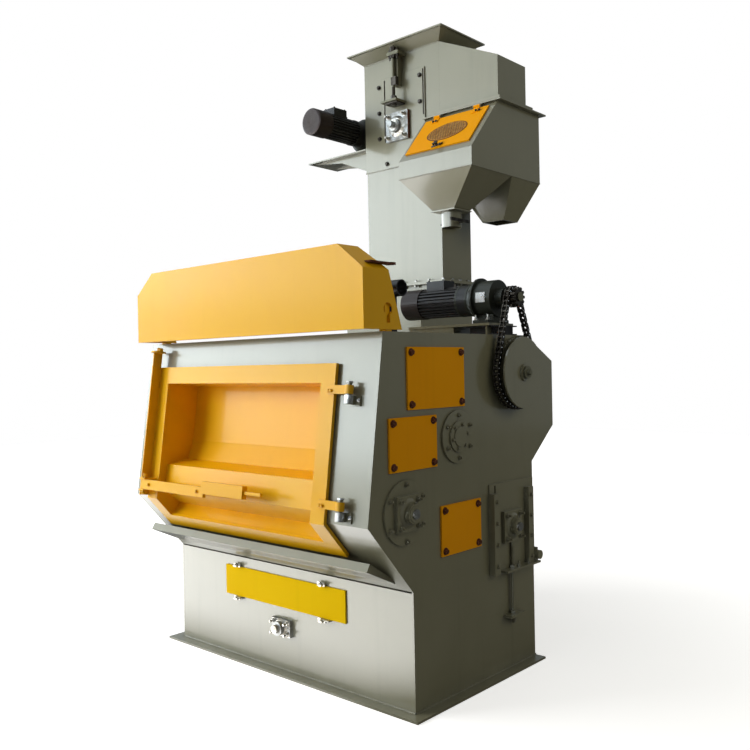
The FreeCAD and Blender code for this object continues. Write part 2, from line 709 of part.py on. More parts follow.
shaft_end = half + size("flange_thick") + size("bearing_thick") + size("bearing_hub_length") + 10


# Chain drive: wheel centres follow from the number of links.


def pitch_radius(teeth):
    return size("chain_pitch") / 2 / math.sin(math.pi / teeth)


def chain_runs(distance):
    """Half angle by which the straight runs lean, their length, and the links in the whole loop."""
    large = size("large_teeth")
    small = size("small_teeth")
    lean = math.asin((pitch_radius(large) - pitch_radius(small)) / distance)
    straight = distance * math.cos(lean)
    links = (2 * straight / size("chain_pitch") + large * (math.pi + 2 * lean) / (2 * math.pi)
             + small * (math.pi - 2 * lean) / (2 * math.pi))
    return lean, straight, links


def centre_distance():
    """The distance between wheels at which a whole number of links fits the loop."""
    low = pitch_radius(size("large_teeth")) * 1.05
    high = size("chain_pitch") * size("chain_links")
    for _ in range(60):
        middle = (low + high) / 2
        if chain_runs(middle)[2] < size("chain_links"):
            low = middle
        else:
            high = middle
    return low


small_y = size("drive_y") - size("small_wheel_offset")
small_z = size("drive_z") + math.sqrt(centre_distance() ** 2 - size("small_wheel_offset") ** 2)
sprocket_x = chain_x - size("sprocket_thick") / 2
disc_x = sprocket_x + size("sprocket_thick") + size("wheel_disc_out")

shaped("belt_rollers", Part.makeCompound([
    roller(size("roller_y"), size("roller_z"), size("roller_radius"), shaft_end, -shaft_end),
    roller(size("drive_y"), size("drive_z"), size("drive_radius"),
           disc_x + size("wheel_disc_thick") + 16, -shaft_end),
    roller(size("tension_y"), size("tension_z"), size("tension_radius"), shaft_end, -shaft_end)]))


def end_disc():
    reach = half + size("flange_thick") - size("gap")
    disc = Part.makeCylinder(size("disc_radius"), size("disc_thick"),
                             V(inside - size("disc_thick") - 12, size("disc_y"), size("disc_z")), V(1, 0, 0))
    stub = Part.makeCylinder(size("shaft_radius"), reach - (inside - size("disc_thick") - 12),
                             V(inside - size("disc_thick") - 12, size("disc_y"), size("disc_z")), V(1, 0, 0))
    return disc.fuse(stub).removeSplitter()


shaped("end_discs", Part.makeCompound(both_sides(end_disc)))


def tangent_points(first, r1, second, r2, side, crossed):
    """Where a straight run leaves one circle and meets the next."""
    dy = second[0] - first[0]
    dz = second[1] - first[1]
    distance = math.hypot(dy, dz)
    angle = math.atan2(dz, dy)
    r2_signed = -r2 if crossed else r2
    offset = math.acos((r1 - r2_signed) / distance)
    a = angle + side * offset
    b = a + math.pi if crossed else a
    return ((first[0] + r1 * math.cos(a), first[1] + r1 * math.sin(a)),
            (second[0] + r2 * math.cos(b), second[1] + r2 * math.sin(b)))


def belt_wire(grow):
    """The loop of the belt at a distance from the drums, as tangent lines and arcs."""
    front = (size("roller_y"), size("roller_z"))
    drive = (size("drive_y"), size("drive_z"))
    tension = (size("tension_y"), size("tension_z"))
    disc = (size("disc_y"), size("disc_z"))
    rf = size("roller_radius") + grow
    rd = size("drive_radius") + grow
    rt = size("tension_radius") + grow
    rb = size("disc_radius") + 4 + size("belt_thick") - grow
    a1, a2 = tangent_points(front, rf, disc, rb, 1, True)
    b1, b2 = tangent_points(disc, rb, drive, rd, -1, True)
    c1, c2 = tangent_points(drive, rd, tension, rt, 1, False)
    d1, d2 = tangent_points(tension, rt, front, rf, 1, False)

    def point(p):
        return V(0, p[0], p[1])

    def arc(start, end, centre, radius, clockwise):
        a = math.atan2(start[1] - centre[1], start[0] - centre[0])
        b = math.atan2(end[1] - centre[1], end[0] - centre[0])
        if clockwise:
            while b > a:
                b -= 2 * math.pi
        else:
            while b < a:
                b += 2 * math.pi
        m = (a + b) / 2
        middle = (centre[0] + radius * math.cos(m), centre[1] + radius * math.sin(m))
        return Part.Arc(point(start), point(middle), point(end)).toShape()

    edges = [Part.LineSegment(point(a1), point(a2)).toShape(), arc(a2, b1, disc, rb, False),
             Part.LineSegment(point(b1), point(b2)).toShape(), arc(b2, c1, drive, rd, True),
             Part.LineSegment(point(c1), point(c2)).toShape(), arc(c2, d1, tension, rt, True),
             Part.LineSegment(point(d1), point(d2)).toShape(), arc(d2, a1, front, rf, True)]
    return Part.Wire(edges)


def crawler_belt():
    outer = Part.Face(belt_wire(size("gap") + size("belt_thick")))
    inner = Part.Face(belt_wire(size("gap")))
    half_belt = size("belt_width") / 2
    band = outer.cut(inner)
    band.translate(V(-half_belt, 0, 0))
    return shaped("crawler_belt", band.extrude(V(2 * half_belt, 0, 0)))


crawler_belt()


def chain_pins():
    """The chain's pin centres in order, with the angle of one pin on each wheel."""
    pitch = size("chain_pitch")
    lean, straight, _ = chain_runs(centre_distance())
    large = (size("drive_y"), size("drive_z"))
    small = (small_y, small_z)
    axis = math.atan2(small[1] - large[1], small[0] - large[0])
    leave = axis + math.pi / 2 - lean
    legs = [(large, size("large_teeth"), leave, math.pi + 2 * lean),
            (small, size("small_teeth"), leave - math.pi + 2 * lean, math.pi - 2 * lean)]
    points = []
    phases = []
    position = 0.0
    start = 0.0
    for centre, teeth, first, sweep in legs:
        radius = pitch_radius(teeth)
        step = 2 * math.pi / teeth
        arc_links = sweep / step
        while position < start + arc_links:
            angle = first + (position - start) * step
            points.append((centre[0] + radius * math.cos(angle), centre[1] + radius * math.sin(angle)))
            position += 1
        phases.append(angle)
        start += arc_links
        last = first + sweep
        foot = (centre[0] + radius * math.cos(last), centre[1] + radius * math.sin(last))
        heading = (-math.sin(last), math.cos(last))
        while position < start + straight / pitch - 1e-6:
            gone = (position - start) * pitch
            points.append((foot[0] + heading[0] * gone, foot[1] + heading[1] * gone))
            position += 1
        start += straight / pitch
    return points, phases


CHAIN_PINS, CHAIN_PHASES = chain_pins()


def ribbed_bar(base, along, length, root, tip, count):
    """A bar with flat-topped ribs along it."""
    across = V(0, 0, 1).cross(along)
    corners = []
    for index in range(int(count)):
        middle = 2 * math.pi * index / count
        for turn, radius in ((-0.5, root), (-0.25, tip), (0.25, tip), (0.5 - 0.02, root)):
            angle = middle + turn * math.pi / count * 1.6
            corners.append(base + across * (radius * math.cos(angle)) + V(0, 0, radius * math.sin(angle)))
    return prism(corners, along * length)


def sprocket(y, z, teeth, phase, x0, thick, bore, outboard):
    """A chain wheel with one seat per roller of the chain, and what is fixed on its outer face."""
    radius = pitch_radius(teeth)
    seat = size("roller_size") * 1.03
    outer = radius + size("roller_size") * 0.62
    wheel = Part.makeCylinder(outer, thick, V(x0, y, z), V(1, 0, 0))
    gaps = []
    for index in range(int(teeth)):
        angle = phase + 2 * math.pi * index / teeth
        along = V(0, math.cos(angle), math.sin(angle))
        across = V(0, -math.sin(angle), math.cos(angle))
        centre = V(x0 - 1, y, z) + along * radius
        rise = along * (outer - radius + 1)
        corners = [centre + across * seat * 1.3 + rise, centre + across * seat * 1.02 - along * seat * 0.3,
                   centre + across * seat * 0.5 - along * seat, centre - across * seat * 0.5 - along * seat,
                   centre - across * seat * 1.02 - along * seat * 0.3, centre - across * seat * 1.3 + rise]
        gaps.append(prism(corners, V(thick + 2, 0, 0)))
    wheel = wheel.cut(gaps)
    return wheel.fuse(outboard).cut(Part.makeCylinder(bore + 0.1, 200, V(x0 - 60, y, z), V(1, 0, 0)))


def large_wheel():
    """The driven wheel, with a plain disc as large as itself on its hub."""
    y = size("drive_y")
    z = size("drive_z")
    face_x = sprocket_x + size("sprocket_thick")
    outboard = [Part.makeCylinder(60, disc_x - face_x, V(face_x, y, z), V(1, 0, 0)),
                Part.makeCylinder(pitch_radius(size("large_teeth")) + 4, size("wheel_disc_thick"),
                                  V(disc_x, y, z), V(1, 0, 0)),
                Part.makeCylinder(40, 10, V(disc_x + size("wheel_disc_thick"), y, z), V(1, 0, 0))]
    return sprocket(y, z, size("large_teeth"), CHAIN_PHASES[0], sprocket_x, size("sprocket_thick"),
                    size("shaft_radius"), outboard)


def small_wheel():
    """The driving wheel, with a toothed hub on its outer face."""
    face_x = sprocket_x + size("sprocket_thick")
    collar = 10
    neck = Part.makeCylinder(28, collar, V(face_x, small_y, small_z), V(1, 0, 0))
    hub = ribbed_bar(V(face_x + collar, small_y, small_z), V(1, 0, 0), size("wheel_disc_out") - collar, 36, 48,
                     size("small_teeth"))
    return sprocket(small_y, small_z, size("small_teeth"), CHAIN_PHASES[1], sprocket_x,
                    size("sprocket_thick"), size("motor_shaft_radius"), [neck, hub])


shaped("large_sprocket", large_wheel())
shaped("small_sprocket", small_wheel())


def link_plates(first, second, near, thick):
    """The two side plates of one link, on both sides of the wheels' middle plane."""
    tall = size("link_half_height")
    length = math.hypot(second[0] - first[0], second[1] - first[1])
    along = V(0, (second[0] - first[0]) / length, (second[1] - first[1]) / length)
    across = V(0, -along.z, along.y)
    start = V(chain_x, first[0], first[1])
    end = V(chain_x, second[0], second[1])
    nib = tall * 0.45
    outline = [start - along * tall + across * nib, start - along * tall - across * nib,
               start - along * nib - across * tall, end + along * nib - across * tall,
               end + along * tall - across * nib, end + along * tall + across * nib,
               end + along * nib + across * tall, start - along * nib + across * tall]
    plates = []
    for shift in (near, -near - thick):
        plates.append(prism([corner + V(shift, 0, 0) for corner in outline], V(thick, 0, 0)))
    return plates


def drive_chain():
    """The roller chain: inner and outer links in turn, a roller on every pin, all one loop."""
    near = size("chain_inner_gap") / 2
    thick = size("link_plate")
    count = len(CHAIN_PINS)
    solids = []
    for index, pin in enumerate(CHAIN_PINS):
        following = CHAIN_PINS[(index + 1) % count]
        inset = 0 if index % 2 == 0 else thick
        solids += link_plates(pin, following, near + inset, thick)
        heading = math.atan2(following[1] - pin[1], following[0] - pin[0])
        corners = []
        for side in range(8):
            angle = heading + (side + 0.5) * math.pi / 4
            radius = size("roller_size")
            corners.append(V(chain_x - near - thick - 1, pin[0] + radius * math.cos(angle),
                             pin[1] + radius * math.sin(angle)))
        solids.append(prism(corners, V(2 * (near + thick + 1), 0, 0)))
    return shaped("drive_chain", solids[0].fuse(solids[1:]).removeSplitter())


drive_chain()

# Every roller shaft runs in a flange bearing on each side plate.


def shaft_bearings():
    bearings = []
    free = sprocket_x - half - size("bearing_thick") - 3
    for y, z, stand, hub in ((size("roller_y"), size("roller_z"), size("flange_thick"), size("bearing_hub_length")),
                             (size("tension_y"), size("tension_z"), size("tension_plate"),
                              size("bearing_hub_length")),
                             (size("drive_y"), size("drive_z"), 0, free)):
        bearings += both_sides(lambda: flange_bearing(y, z, stand, hub))
    return shaped("shaft_bearings", Part.makeCompound(bearings))


shaft_bearings()

# Gear motor on the roof edge, its shaft in line with the small chain wheel.


def gear_motor(label_motor, label_reducer, start, direction, shaft_length):
    """A finned motor with a cowl and an in-line reducer with feet; start is the cowl end."""
    base = V(*start)
    along = V(*direction)
    across = V(0, 0, 1).cross(along)
    length = size("motor_length")
    cowl_length = size("motor_cowl_length")
    ring_length = size("motor_ring_length")
    cowl = Part.makeCylinder(size("motor_radius"), cowl_length, base, along)
    body = ribbed_bar(base + along * cowl_length, along, length - cowl_length - ring_length,
                      size("motor_core_radius"), size("motor_fin_radius"), size("motor_fins"))
    ring = Part.makeCylinder(size("motor_radius"), ring_length, base + along * (length - ring_length), along)
    terminal_corner = base + along * (cowl_length + 40) - across * 45
    terminal = prism([terminal_corner, terminal_corner + along * 110, terminal_corner + along * 110 + across * 90,
                      terminal_corner + across * 90], V(0, 0, size("motor_fin_radius") + 34))
    shaped(label_motor, cowl.fuse([body, ring, terminal]).removeSplitter())
    begin = base + along * (length + size("gap"))
    gear_length = size("reducer_length")
    cone_length = size("reducer_cone_length")
    radius = size("reducer_radius")
    cone = Part.makeCone(size("motor_radius"), size("reducer_flange_radius"), cone_length, begin, along)
    case = Part.makeCylinder(radius, gear_length - cone_length, begin + along * cone_length, along)
    neck = Part.makeCylinder(size("reducer_neck_radius"), size("reducer_neck_length"),
                             begin + along * gear_length, along)
    shaft = Part.makeCylinder(size("motor_shaft_radius"), shaft_length, begin + along * gear_length, along)
    foot_low = -size("reducer_flange_radius") - size("reducer_foot_drop")
    corner = begin + along * (cone_length + 8) - across * radius + V(0, 0, foot_low)
    foot_length = gear_length - cone_length - 16
    foot = prism([corner, corner + along * foot_length, corner + along * foot_length + across * radius * 2,
                  corner + across * radius * 2], V(0, 0, 16))
    web = prism([corner + across * radius * 0.5, corner + along * foot_length + across * radius * 0.5,
                 corner + along * foot_length + across * radius * 1.5, corner + across * radius * 1.5],
                V(0, 0, -foot_low - radius * 0.5))
    shaped(label_reducer, cone.fuse([case, neck, shaft, foot, web]).removeSplitter())
    return foot_low


reducer_end_x = sprocket_x - 26 - size("reducer_neck_length")
drive_start_x = reducer_end_x - size("motor_length") - size("reducer_length") - size("gap")
drive_foot = gear_motor("drive_motor", "drive_reducer", (drive_start_x, small_y, small_z), (1, 0, 0),
                        disc_x - reducer_end_x + 4)


def drive_stand():
    """A box on the roof under the motor, and a plate with an outer cheek under the reducer."""
    top = small_z + drive_foot
    wide = size("stand_half_width")
    plate_low = top - size("stand_plate")
    box_x = drive_start_x + size("stand_box_start")
    plate = block((box_x, small_y - wide, plate_low), (reducer_end_x + 8, small_y + wide, top))
    foot = block((box_x, small_y - wide + 6, size("roof_z")),
                 (box_x + size("stand_box_length"), small_y + wide - 6, plate_low))
    cheek = block((reducer_end_x - 20, small_y - wide + 10, size("roof_z")),
                  (reducer_end_x - 10, small_y + wide - 10, plate_low))
    return shaped("drive_stand", plate.fuse([foot, cheek]).removeSplitter())


drive_stand()

# Elevator: lower casing, column and head, with flanges between them.
ex0 = size("elevator_left_x")
ex1 = size("elevator_right_x")
ey0 = behind("column_front_off")
ey1 = behind("elevator_back_off")


def tube(x0, y0, x1, y1, z0, z1, wall):
    outer = block((x0, y0, z0), (x1, y1, z1))
    return outer.cut(block((x0 + wall, y0 + wall, z0 - 1), (x1 - wall, y1 - wall, z1 + 1)))


def ring(x0, y0, x1, y1, z, out, thick, wall):
    outer = block((x0 - out, y0 - out, z), (x1 + out, y1 + out, z + thick))
    return outer.cut(block((x0 + wall, y0 + wall, z - 1), (x1 - wall, y1 - wall, z + thick + 1)))


def elevator():
    wall = size("skin")
    out = size("flange_out")
    bar = size("flange_bar")
    cy0 = casing_front_y
    top = size("casing_top_z")
    casing = tube(ex0, cy0, ex1, ey1, 0, top, wall)
    lid = block((ex0, cy0, top - wall), (ex1, ey0 - 0.001 + wall, top))
    neck = tube(ex0, ey0, ex1, ey1, top - wall, size("column_low_z") - bar, wall)
    flange = ring(ex0, ey0, ex1, ey1, size("column_low_z") - bar, out, bar, wall)
    floor = block((ex0, cy0, 0), (ex1, ey1, wall))
    shaped("elevator_casing", casing.fuse([lid, neck, flange, floor]).removeSplitter())
    column = tube(ex0, ey0, ex1, ey1, size("column_low_z"), size("column_top_z"), wall)
    column = column.fuse(ring(ex0, ey0, ex1, ey1, size("column_low_z"), out, bar, wall))
    shaped("elevator_column", column.removeSplitter())


elevator()


def frustum(low, low_z, high, high_z):
    """A solid between two level rectangles (x0, y0, x1, y1), its four sides flat."""
    rings = []
    for (x0, y0, x1, y1), z in ((low, low_z), (high, high_z)):
        rings.append([V(x0, y0, z), V(x1, y0, z), V(x1, y1, z), V(x0, y1, z)])
    corners = [rings[0][::-1], rings[1]]
    for index in range(4):
        following = (index + 1) % 4
        corners.append([rings[0][index], rings[0][following], rings[1][following], rings[1][index]])
    faces = [Part.Face(Part.makePolygon(loop + [loop[0]])) for loop in corners]
    return Part.Solid(Part.Shell(faces))


def elevator_head():
    """The head casing, a little wider than the column, with a flared rim under its lid."""
    wall = size("skin")
    step = size("head_step")
    head = tube(ex0 - step, ey0, ex1, ey1, size("column_top_z"), size("head_top_z"), wall)
    shaped("elevator_head", head)
    x0 = ex0 - step
    top = size("head_top_z")
    rim = size("rim_out")
    rise = size("rim_rise")

    def rectangle(grow):
        return (x0 - grow, ey0 - grow, ex1 + grow, ey1 + grow)

    flare = frustum(rectangle(0), top, rectangle(rim), top + rise)
    hollow = frustum(rectangle(-wall), top, rectangle(rim - wall), top + rise)
    lid = block((x0 - rim - 14, ey0 - rim - 14, top + rise),
                (ex1 + rim + 14, ey1 + rim + 14, top + rise + size("lid_thick")))
    shaped("head_rim", flare.cut(hollow).fuse(lid).removeSplitter())


elevator_head()


def take_up():
    """Sliding plate, guides and screw that tighten the elevator belt at the head."""
    x = size("head_shaft_x")
    z = size("head_shaft_z")
    front = ey0
    plate = block((x - 130, front - 8, z - 236), (x + 202, front, z + 310))
    slots = [block((x - 111, front - 9, z - 74), (x - 101, front + 1, z + 300)),
             block((x + 188, front - 9, z + 33), (x + 198, front + 1, z + 300))]
    shaped("take_up_plate", plate.cut(slots))
    bearing_square = size("head_bearing_square") / 2
    base = block((x - bearing_square, front - 8 - 18, z - bearing_square),
                 (x + bearing_square, front - 8, z + bearing_square))
    hub = Part.makeCylinder(size("bearing_hub_radius"), 30, V(x, front - 26, z), V(0, -1, 0))
    shaft = Part.makeCylinder(size("shaft_radius"), 90, V(x, front - 8, z), V(0, -1, 0))
    shaped("head_bearing", base.fuse([hub, shaft]).removeSplitter())
    top = size("head_top_z") - size("gap")
    bracket = block((x - 26, front - 76, top - 20), (x + 60, front - size("gap"), top))
    channel = block((x, front - 44, z + 230), (x + 34, front - 8 - size("gap"), top - 20))
    cup = block((x - 60, front - 100, z + 130), (x + 60, front - 8, z + 142))
    screw = rod((x + 12, front - 62, z + 110), (x + 12, front - 62, top + 36), 9)
    shaped("take_up_screw", bracket.fuse([channel, cup, screw]).removeSplitter())


take_up()

head_foot = gear_motor("head_motor", "head_reducer",
                       (size("head_motor_x"), behind("head_motor_tail_off"), size("head_motor_z")),
                                   (0, 1, 0), 60)


def motor_platform():
    """The shelf on the left of the head that carries its gear motor."""
    top = size("head_motor_z") + head_foot
    thick = size("platform_thick")
    right = ex0 - size("head_step")
    shelf = block((size("platform_left_x"), ey0, top - thick), (right, ey1 - 10, top))
    rib_points = [(right, top - thick), (right, top - 140), (right - 250, top - thick - 30),
                  (size("platform_left_x") + 40, top - thick)]
    ribs = []
    for y in (ey0 + 40, ey1 - 60):
        ribs.append(prism([V(px, y, pz) for px, pz in rib_points], V(0, 6, 0)))
    return shaped("motor_platform", shelf.fuse(ribs).removeSplitter())


motor_platform()

# Chute, separator and its two hoppers.


def chute():
    wall = size("skin")
    low = size("separator_top_z") + size("flange_bar") + size("gap")
    left = ex1 + size("gap")
    right = size("chute_right_x")
    top_left = size("head_top_z")
    outline = [(left, low), (right, low), (right, size("chute_roof_z")), (left, top_left)]
    shell = prism([V(x, ey0, z) for x, z in outline], V(0, ey1 - ey0, 0))
    foot = block((left, separator_front_y, low),
                 (right + size("chute_flange") * 2, ey1 + size("chute_flange") * 2, low + size("chute_flange")))
    hollow_points = [(left - 1, low - 1), (right - wall, low - 1),
                     (right - wall, size("chute_roof_z") - wall), (left - 1, top_left - wall)]
    hollow = prism([V(x, ey0 + wall, z) for x, z in hollow_points], V(0, ey1 - ey0 - 2 * wall, 0))
    return shaped("transfer_chute", shell.fuse(foot).cut(hollow).removeSplitter())


chute()

sx0 = size("separator_left_x")
sx1 = size("separator_right_x")


def separator():
    wall = size("skin")
    outline = [(separator_front_y + 20, size("separator_top_z")),
               (separator_back_y, size("separator_top_z")),
               (separator_back_y, size("separator_low_z")),
               (separator_nose_y, size("separator_low_z")),
               (separator_nose_y, size("separator_nose_z"))]
    clear = size("gap")
    low = size("separator_low_z") - 1
    back = separator_back_y + 1
    body = side_prism(outline, sx0, sx1)
    body = body.cut(block((ex0, ey0 - clear, low), (ex1 + clear, back, size("separator_top_z") + 1)))
    nose_in = separator_nose_y + wall
    inner = [(separator_front_y + 20 + wall, size("separator_top_z") - wall),
             (separator_back_y - wall, size("separator_top_z") - wall),
             (separator_back_y - wall, low), (nose_in, low),
             (nose_in, size("separator_nose_z") - wall * 0.4)]
    room = side_prism(inner, sx0 + wall, sx1 - wall)
    room = room.cut(block((ex0, ey0 - clear - wall, low),
                          (ex1 + clear + wall, back, size("separator_top_z") + 1)))
    inlet = block((ex1 + clear + wall, ey0 + wall, size("separator_top_z") - 2 * wall),
                  (size("chute_right_x") - wall, ey1 - wall, size("separator_top_z") + 20))
    body = body.cut([room])
    flange = block((sx0 - 10, separator_front_y, size("separator_top_z")),
                   (sx1 + 30, separator_back_y + 30, size("separator_top_z") + size("flange_bar")))
    flange = flange.cut(block((ex0, ey0 - clear, size("separator_top_z") - 1),
                              (ex1 + clear, separator_back_y + 40, size("separator_top_z") + 20)))
    return shaped("separator_body", body.fuse(flange).cut(inlet).removeSplitter())


separator_box = separator()


def hopper(x0, y0, x1, y1, z_top, ox, oy, half_size, z_low):
    """A four-sided funnel: its outside, and the room in it."""
    wall = size("skin")
    solids = []
    for inset in (0, wall):
        small = half_size - inset * 1.5
        solids.append(frustum((ox - small, oy - small, ox + small, oy + small), z_low,
                              (x0 + inset, y0 + inset, x1 - inset, y1 - inset), z_top))
    return solids


outlet_x = (sx0 + sx1) / 2
outlet_y = separator_nose_y + size("spout_in")


def hoppers():
    z_top = size("separator_low_z")
    half_size = size("outlet_half")
    low = size("hopper_low_z")
    wall = size("skin")
    clear = size("gap")
    top = z_top - clear
    split = hopper_split_y
    outer, inner = hopper(sx0, separator_nose_y, sx1, split - clear / 2, top,
                          outlet_x, outlet_y, half_size, low)
    outer = outer.cut(block((ex0, ey0 - clear, low - 1), (ex1 + clear, ey1 + 200, top + 1)))
    inner = inner.cut(block((ex0, ey0 - clear - wall, low - 1), (ex1 + clear + wall, ey1 + 200, top + 1)))
    front = outer.cut(inner)
    outer, inner = hopper(ex1 + 20, split + clear / 2, sx1, separator_back_y, top,
                          (ex1 + sx1) / 2 + 20, split + 150, half_size, low - size("rear_hopper_drop"))
    rear = outer.cut(inner)
    shaped("separator_hoppers", Part.makeCompound([front, rear]))


hoppers()


def spout_and_gate():
    """A round outlet with a flap on a cross shaft and a lever outside."""
    top = size("hopper_low_z")
    radius = size("spout_radius")
    wall = size("spout_wall")
    length = size("spout_length")
    outer = Part.makeCylinder(radius, length, V(outlet_x, outlet_y, top - length))
    inner = Part.makeCylinder(radius - wall, length + 2, V(outlet_x, outlet_y, top - length - 1))
    reach = size("spout_plate_half")
    plate = block((outlet_x - reach, outlet_y - reach, top - 6), (outlet_x + reach, outlet_y + reach, top))
    spout = outer.fuse(plate).cut(inner)
    shaft_z = top - length * 0.72
    bore = rod((outlet_x - 90, outlet_y, shaft_z), (outlet_x + 90, outlet_y, shaft_z), 6.1)
    shaped("outlet_spout", spout.cut(bore).removeSplitter())
    shaft = rod((outlet_x - 72, outlet_y, shaft_z), (outlet_x + 96, outlet_y, shaft_z), 6)
    flap = Part.makeCylinder(radius - wall - 6, 4, V(outlet_x, outlet_y, shaft_z - 2))
    lever = block((outlet_x + 88, outlet_y - 130, shaft_z - 8), (outlet_x + 96, outlet_y + 40, shaft_z + 8))
    shaped("gate_lever", shaft.fuse([flap, lever]).removeSplitter())
    return shaft_z


gate_z = spout_and_gate()

# Hatch on the sloping front of the separator.
slope_top = (separator_front_y + 20, size("separator_top_z"))
slope_low = (separator_nose_y, size("separator_nose_z"))
slope_run = math.hypot(slope_low[0] - slope_top[0], slope_low[1] - slope_top[1])
SLOPE = ((slope_low[0] - slope_top[0]) / slope_run, (slope_low[1] - slope_top[1]) / slope_run)
SLOPE_OUT = (SLOPE[1], -SLOPE[0])


def on_slope(down, out):
    return (slope_top[0] + SLOPE[0] * down + SLOPE_OUT[0] * out,
            slope_top[1] + SLOPE[1] * down + SLOPE_OUT[1] * out)


hatch_x0 = sx0 + size("hatch_margin")
hatch_x1 = hatch_x0 + size("hatch_width")
hatch_down = size("hatch_down")
hatch_out = 14


def hatch():
    thick = size("hatch_thick")
    points = [on_slope(hatch_down, size("gap")), on_slope(hatch_down + size("hatch_height"), size("gap")),
              on_slope(hatch_down + size("hatch_height"), thick), on_slope(hatch_down, thick)]
    panel = side_prism(points, hatch_x0, hatch_x1)
    y, z = on_slope(hatch_down - 12, hatch_out)
    eyes = []
    pins = []
    for x in (hatch_x0 + 60, hatch_x1 - 100):
        strap = side_prism([on_slope(hatch_down - 12, thick), on_slope(hatch_down + 40, thick),
                            on_slope(hatch_down + 40, thick + 4), on_slope(hatch_down - 12, thick + 4)],
                           x, x + 40)
        eye = rod((x, y, z), (x + 40, y, z), 8)
        eyes.append(strap.fuse(eye).cut(rod((x - 1, y, z), (x + 41, y, z), 4.1)))
        lugs = [side_prism([on_slope(hatch_down - 20, 0), on_slope(hatch_down - 4, 0),
                            on_slope(hatch_down - 4, hatch_out + 6), on_slope(hatch_down - 20, hatch_out + 6)],
                           a, a + 6) for a in (x - 6.5, x + 40.5)]
        pin = rod((x - 8, y, z), (x + 48, y, z), 4)
        pins.append(pin.fuse(lugs).removeSplitter())
    shaped("hatch_panel", panel.fuse(eyes).removeSplitter())
    return y, z, pins


hatch_y, hatch_z, hatch_pins = hatch()
border = size("hatch_border")
hatch_opening = side_prism([on_slope(hatch_down + border, 20), on_slope(hatch_down + size("hatch_height") - border, 20),
                            on_slope(hatch_down + size("hatch_height") - border, -20),
                            on_slope(hatch_down + border, -20)], hatch_x0 + border, hatch_x1 - border)
separator_box.Shape = separator_box.Shape.cut(hatch_opening).fuse(hatch_pins)

# Front bearing of the bottom screw.
front_bearing_base = box("front_bearing_base", ("sheet.screw_bearing_width", "18", "sheet.screw_bearing_width * 0.62"),
                         ("-sheet.screw_bearing_width / 2", "-18",
                          "sheet.screw_bearing_z - sheet.screw_bearing_width * 0.31"))
front_bearing_hub = cylinder("front_bearing_hub", "34", "46", ("0", "-46", "sheet.screw_bearing_z"), "y")
keep(fuse("screw_bearing", [front_bearing_base, front_bearing_hub]), "front_bearing")

doc.recompute()


def check_and_write():
    for obj in doc.Objects:
        if "Invalid" in obj.State or "Error" in obj.State:
            raise RuntimeError("failed: " + obj.Name)
    os.makedirs("parts", exist_ok=True)
    low = V(1e9, 1e9, 1e9)
    high = V(-1e9, -1e9, -1e9)
    for obj in PIECES:
        shape = obj.Shape
        if shape.isNull() or not shape.isValid() or not shape.Solids:
            raise RuntimeError("bad shape: " + obj.Label)
        shape.exportStep("parts/" + obj.Label + ".step")
        bounds = shape.BoundBox
        low = V(min(low.x, bounds.XMin), min(low.y, bounds.YMin), min(low.z, bounds.ZMin))
        high = V(max(high.x, bounds.XMax), max(high.y, bounds.YMax), max(high.z, bounds.ZMax))
        print("%-24s %3d solids  volume %.6f m3" % (obj.Label, len(shape.Solids), shape.Volume / 1e9))
    print("pieces", len(PIECES), "box", low, high)


check_and_write()
print("hinge axis through x %.1f, y %.1f, z %.1f" % on_face_point(hinge_x, 0, size("hinge_out")))
print("hinge axis direction y %.5f z %.5f" % UP)
print("latch pin", on_face_point(door_left + size("latch_margin"), size("latch_up"), size("latch_out")))
print("hatch axis y %.2f z %.2f x %.1f to %.1f" % (hatch_y, hatch_z, hatch_x0, hatch_x1))
print("gate shaft", outlet_x, outlet_y, gate_z)
print("small wheel y %.2f z %.2f" % (small_y, small_z))
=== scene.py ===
# %% [markdown]
# The shot blasting machine: a sheet steel cabinet in green-grey enamel, a yellow dished door and
# hood, a bucket elevator behind and a separator high on the right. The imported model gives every
# piece its true place, so this script only adds finishes, small fasteners, welds and light.

# %% Load the frame
import json
import math

import bmesh
import bpy
from mathutils import Matrix, Vector


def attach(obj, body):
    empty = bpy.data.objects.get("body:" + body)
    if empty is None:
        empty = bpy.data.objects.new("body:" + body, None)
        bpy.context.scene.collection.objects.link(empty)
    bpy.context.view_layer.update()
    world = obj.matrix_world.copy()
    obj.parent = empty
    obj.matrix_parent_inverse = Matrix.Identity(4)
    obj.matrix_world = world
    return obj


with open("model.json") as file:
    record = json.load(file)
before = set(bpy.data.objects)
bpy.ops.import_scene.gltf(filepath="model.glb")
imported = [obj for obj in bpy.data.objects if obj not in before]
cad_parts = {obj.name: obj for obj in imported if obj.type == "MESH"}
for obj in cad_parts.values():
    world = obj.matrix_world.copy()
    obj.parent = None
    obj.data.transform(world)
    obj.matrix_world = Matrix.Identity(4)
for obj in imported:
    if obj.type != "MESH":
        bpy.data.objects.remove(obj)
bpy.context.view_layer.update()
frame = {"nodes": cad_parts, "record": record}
nodes = frame["nodes"]

# %% [markdown]
# The camera stands on the right of the machine at head height. Its place was worked out from the
# cabinet's straight edges: a lens of 40 mm on a 36 mm sensor, turned 42 degrees to the left.

# %% Camera
CAMERA_PLACE = Vector((3.0288, -2.6548, 1.4524))
CAMERA_YAW = math.radians(42.15)
CAMERA_PITCH = math.radians(-0.47)
CAMERA_ROLL = math.radians(-1.13)
SENSOR = 36.0
FOCAL_PIXELS = 833.2
PICTURE_PIXELS = 750.0


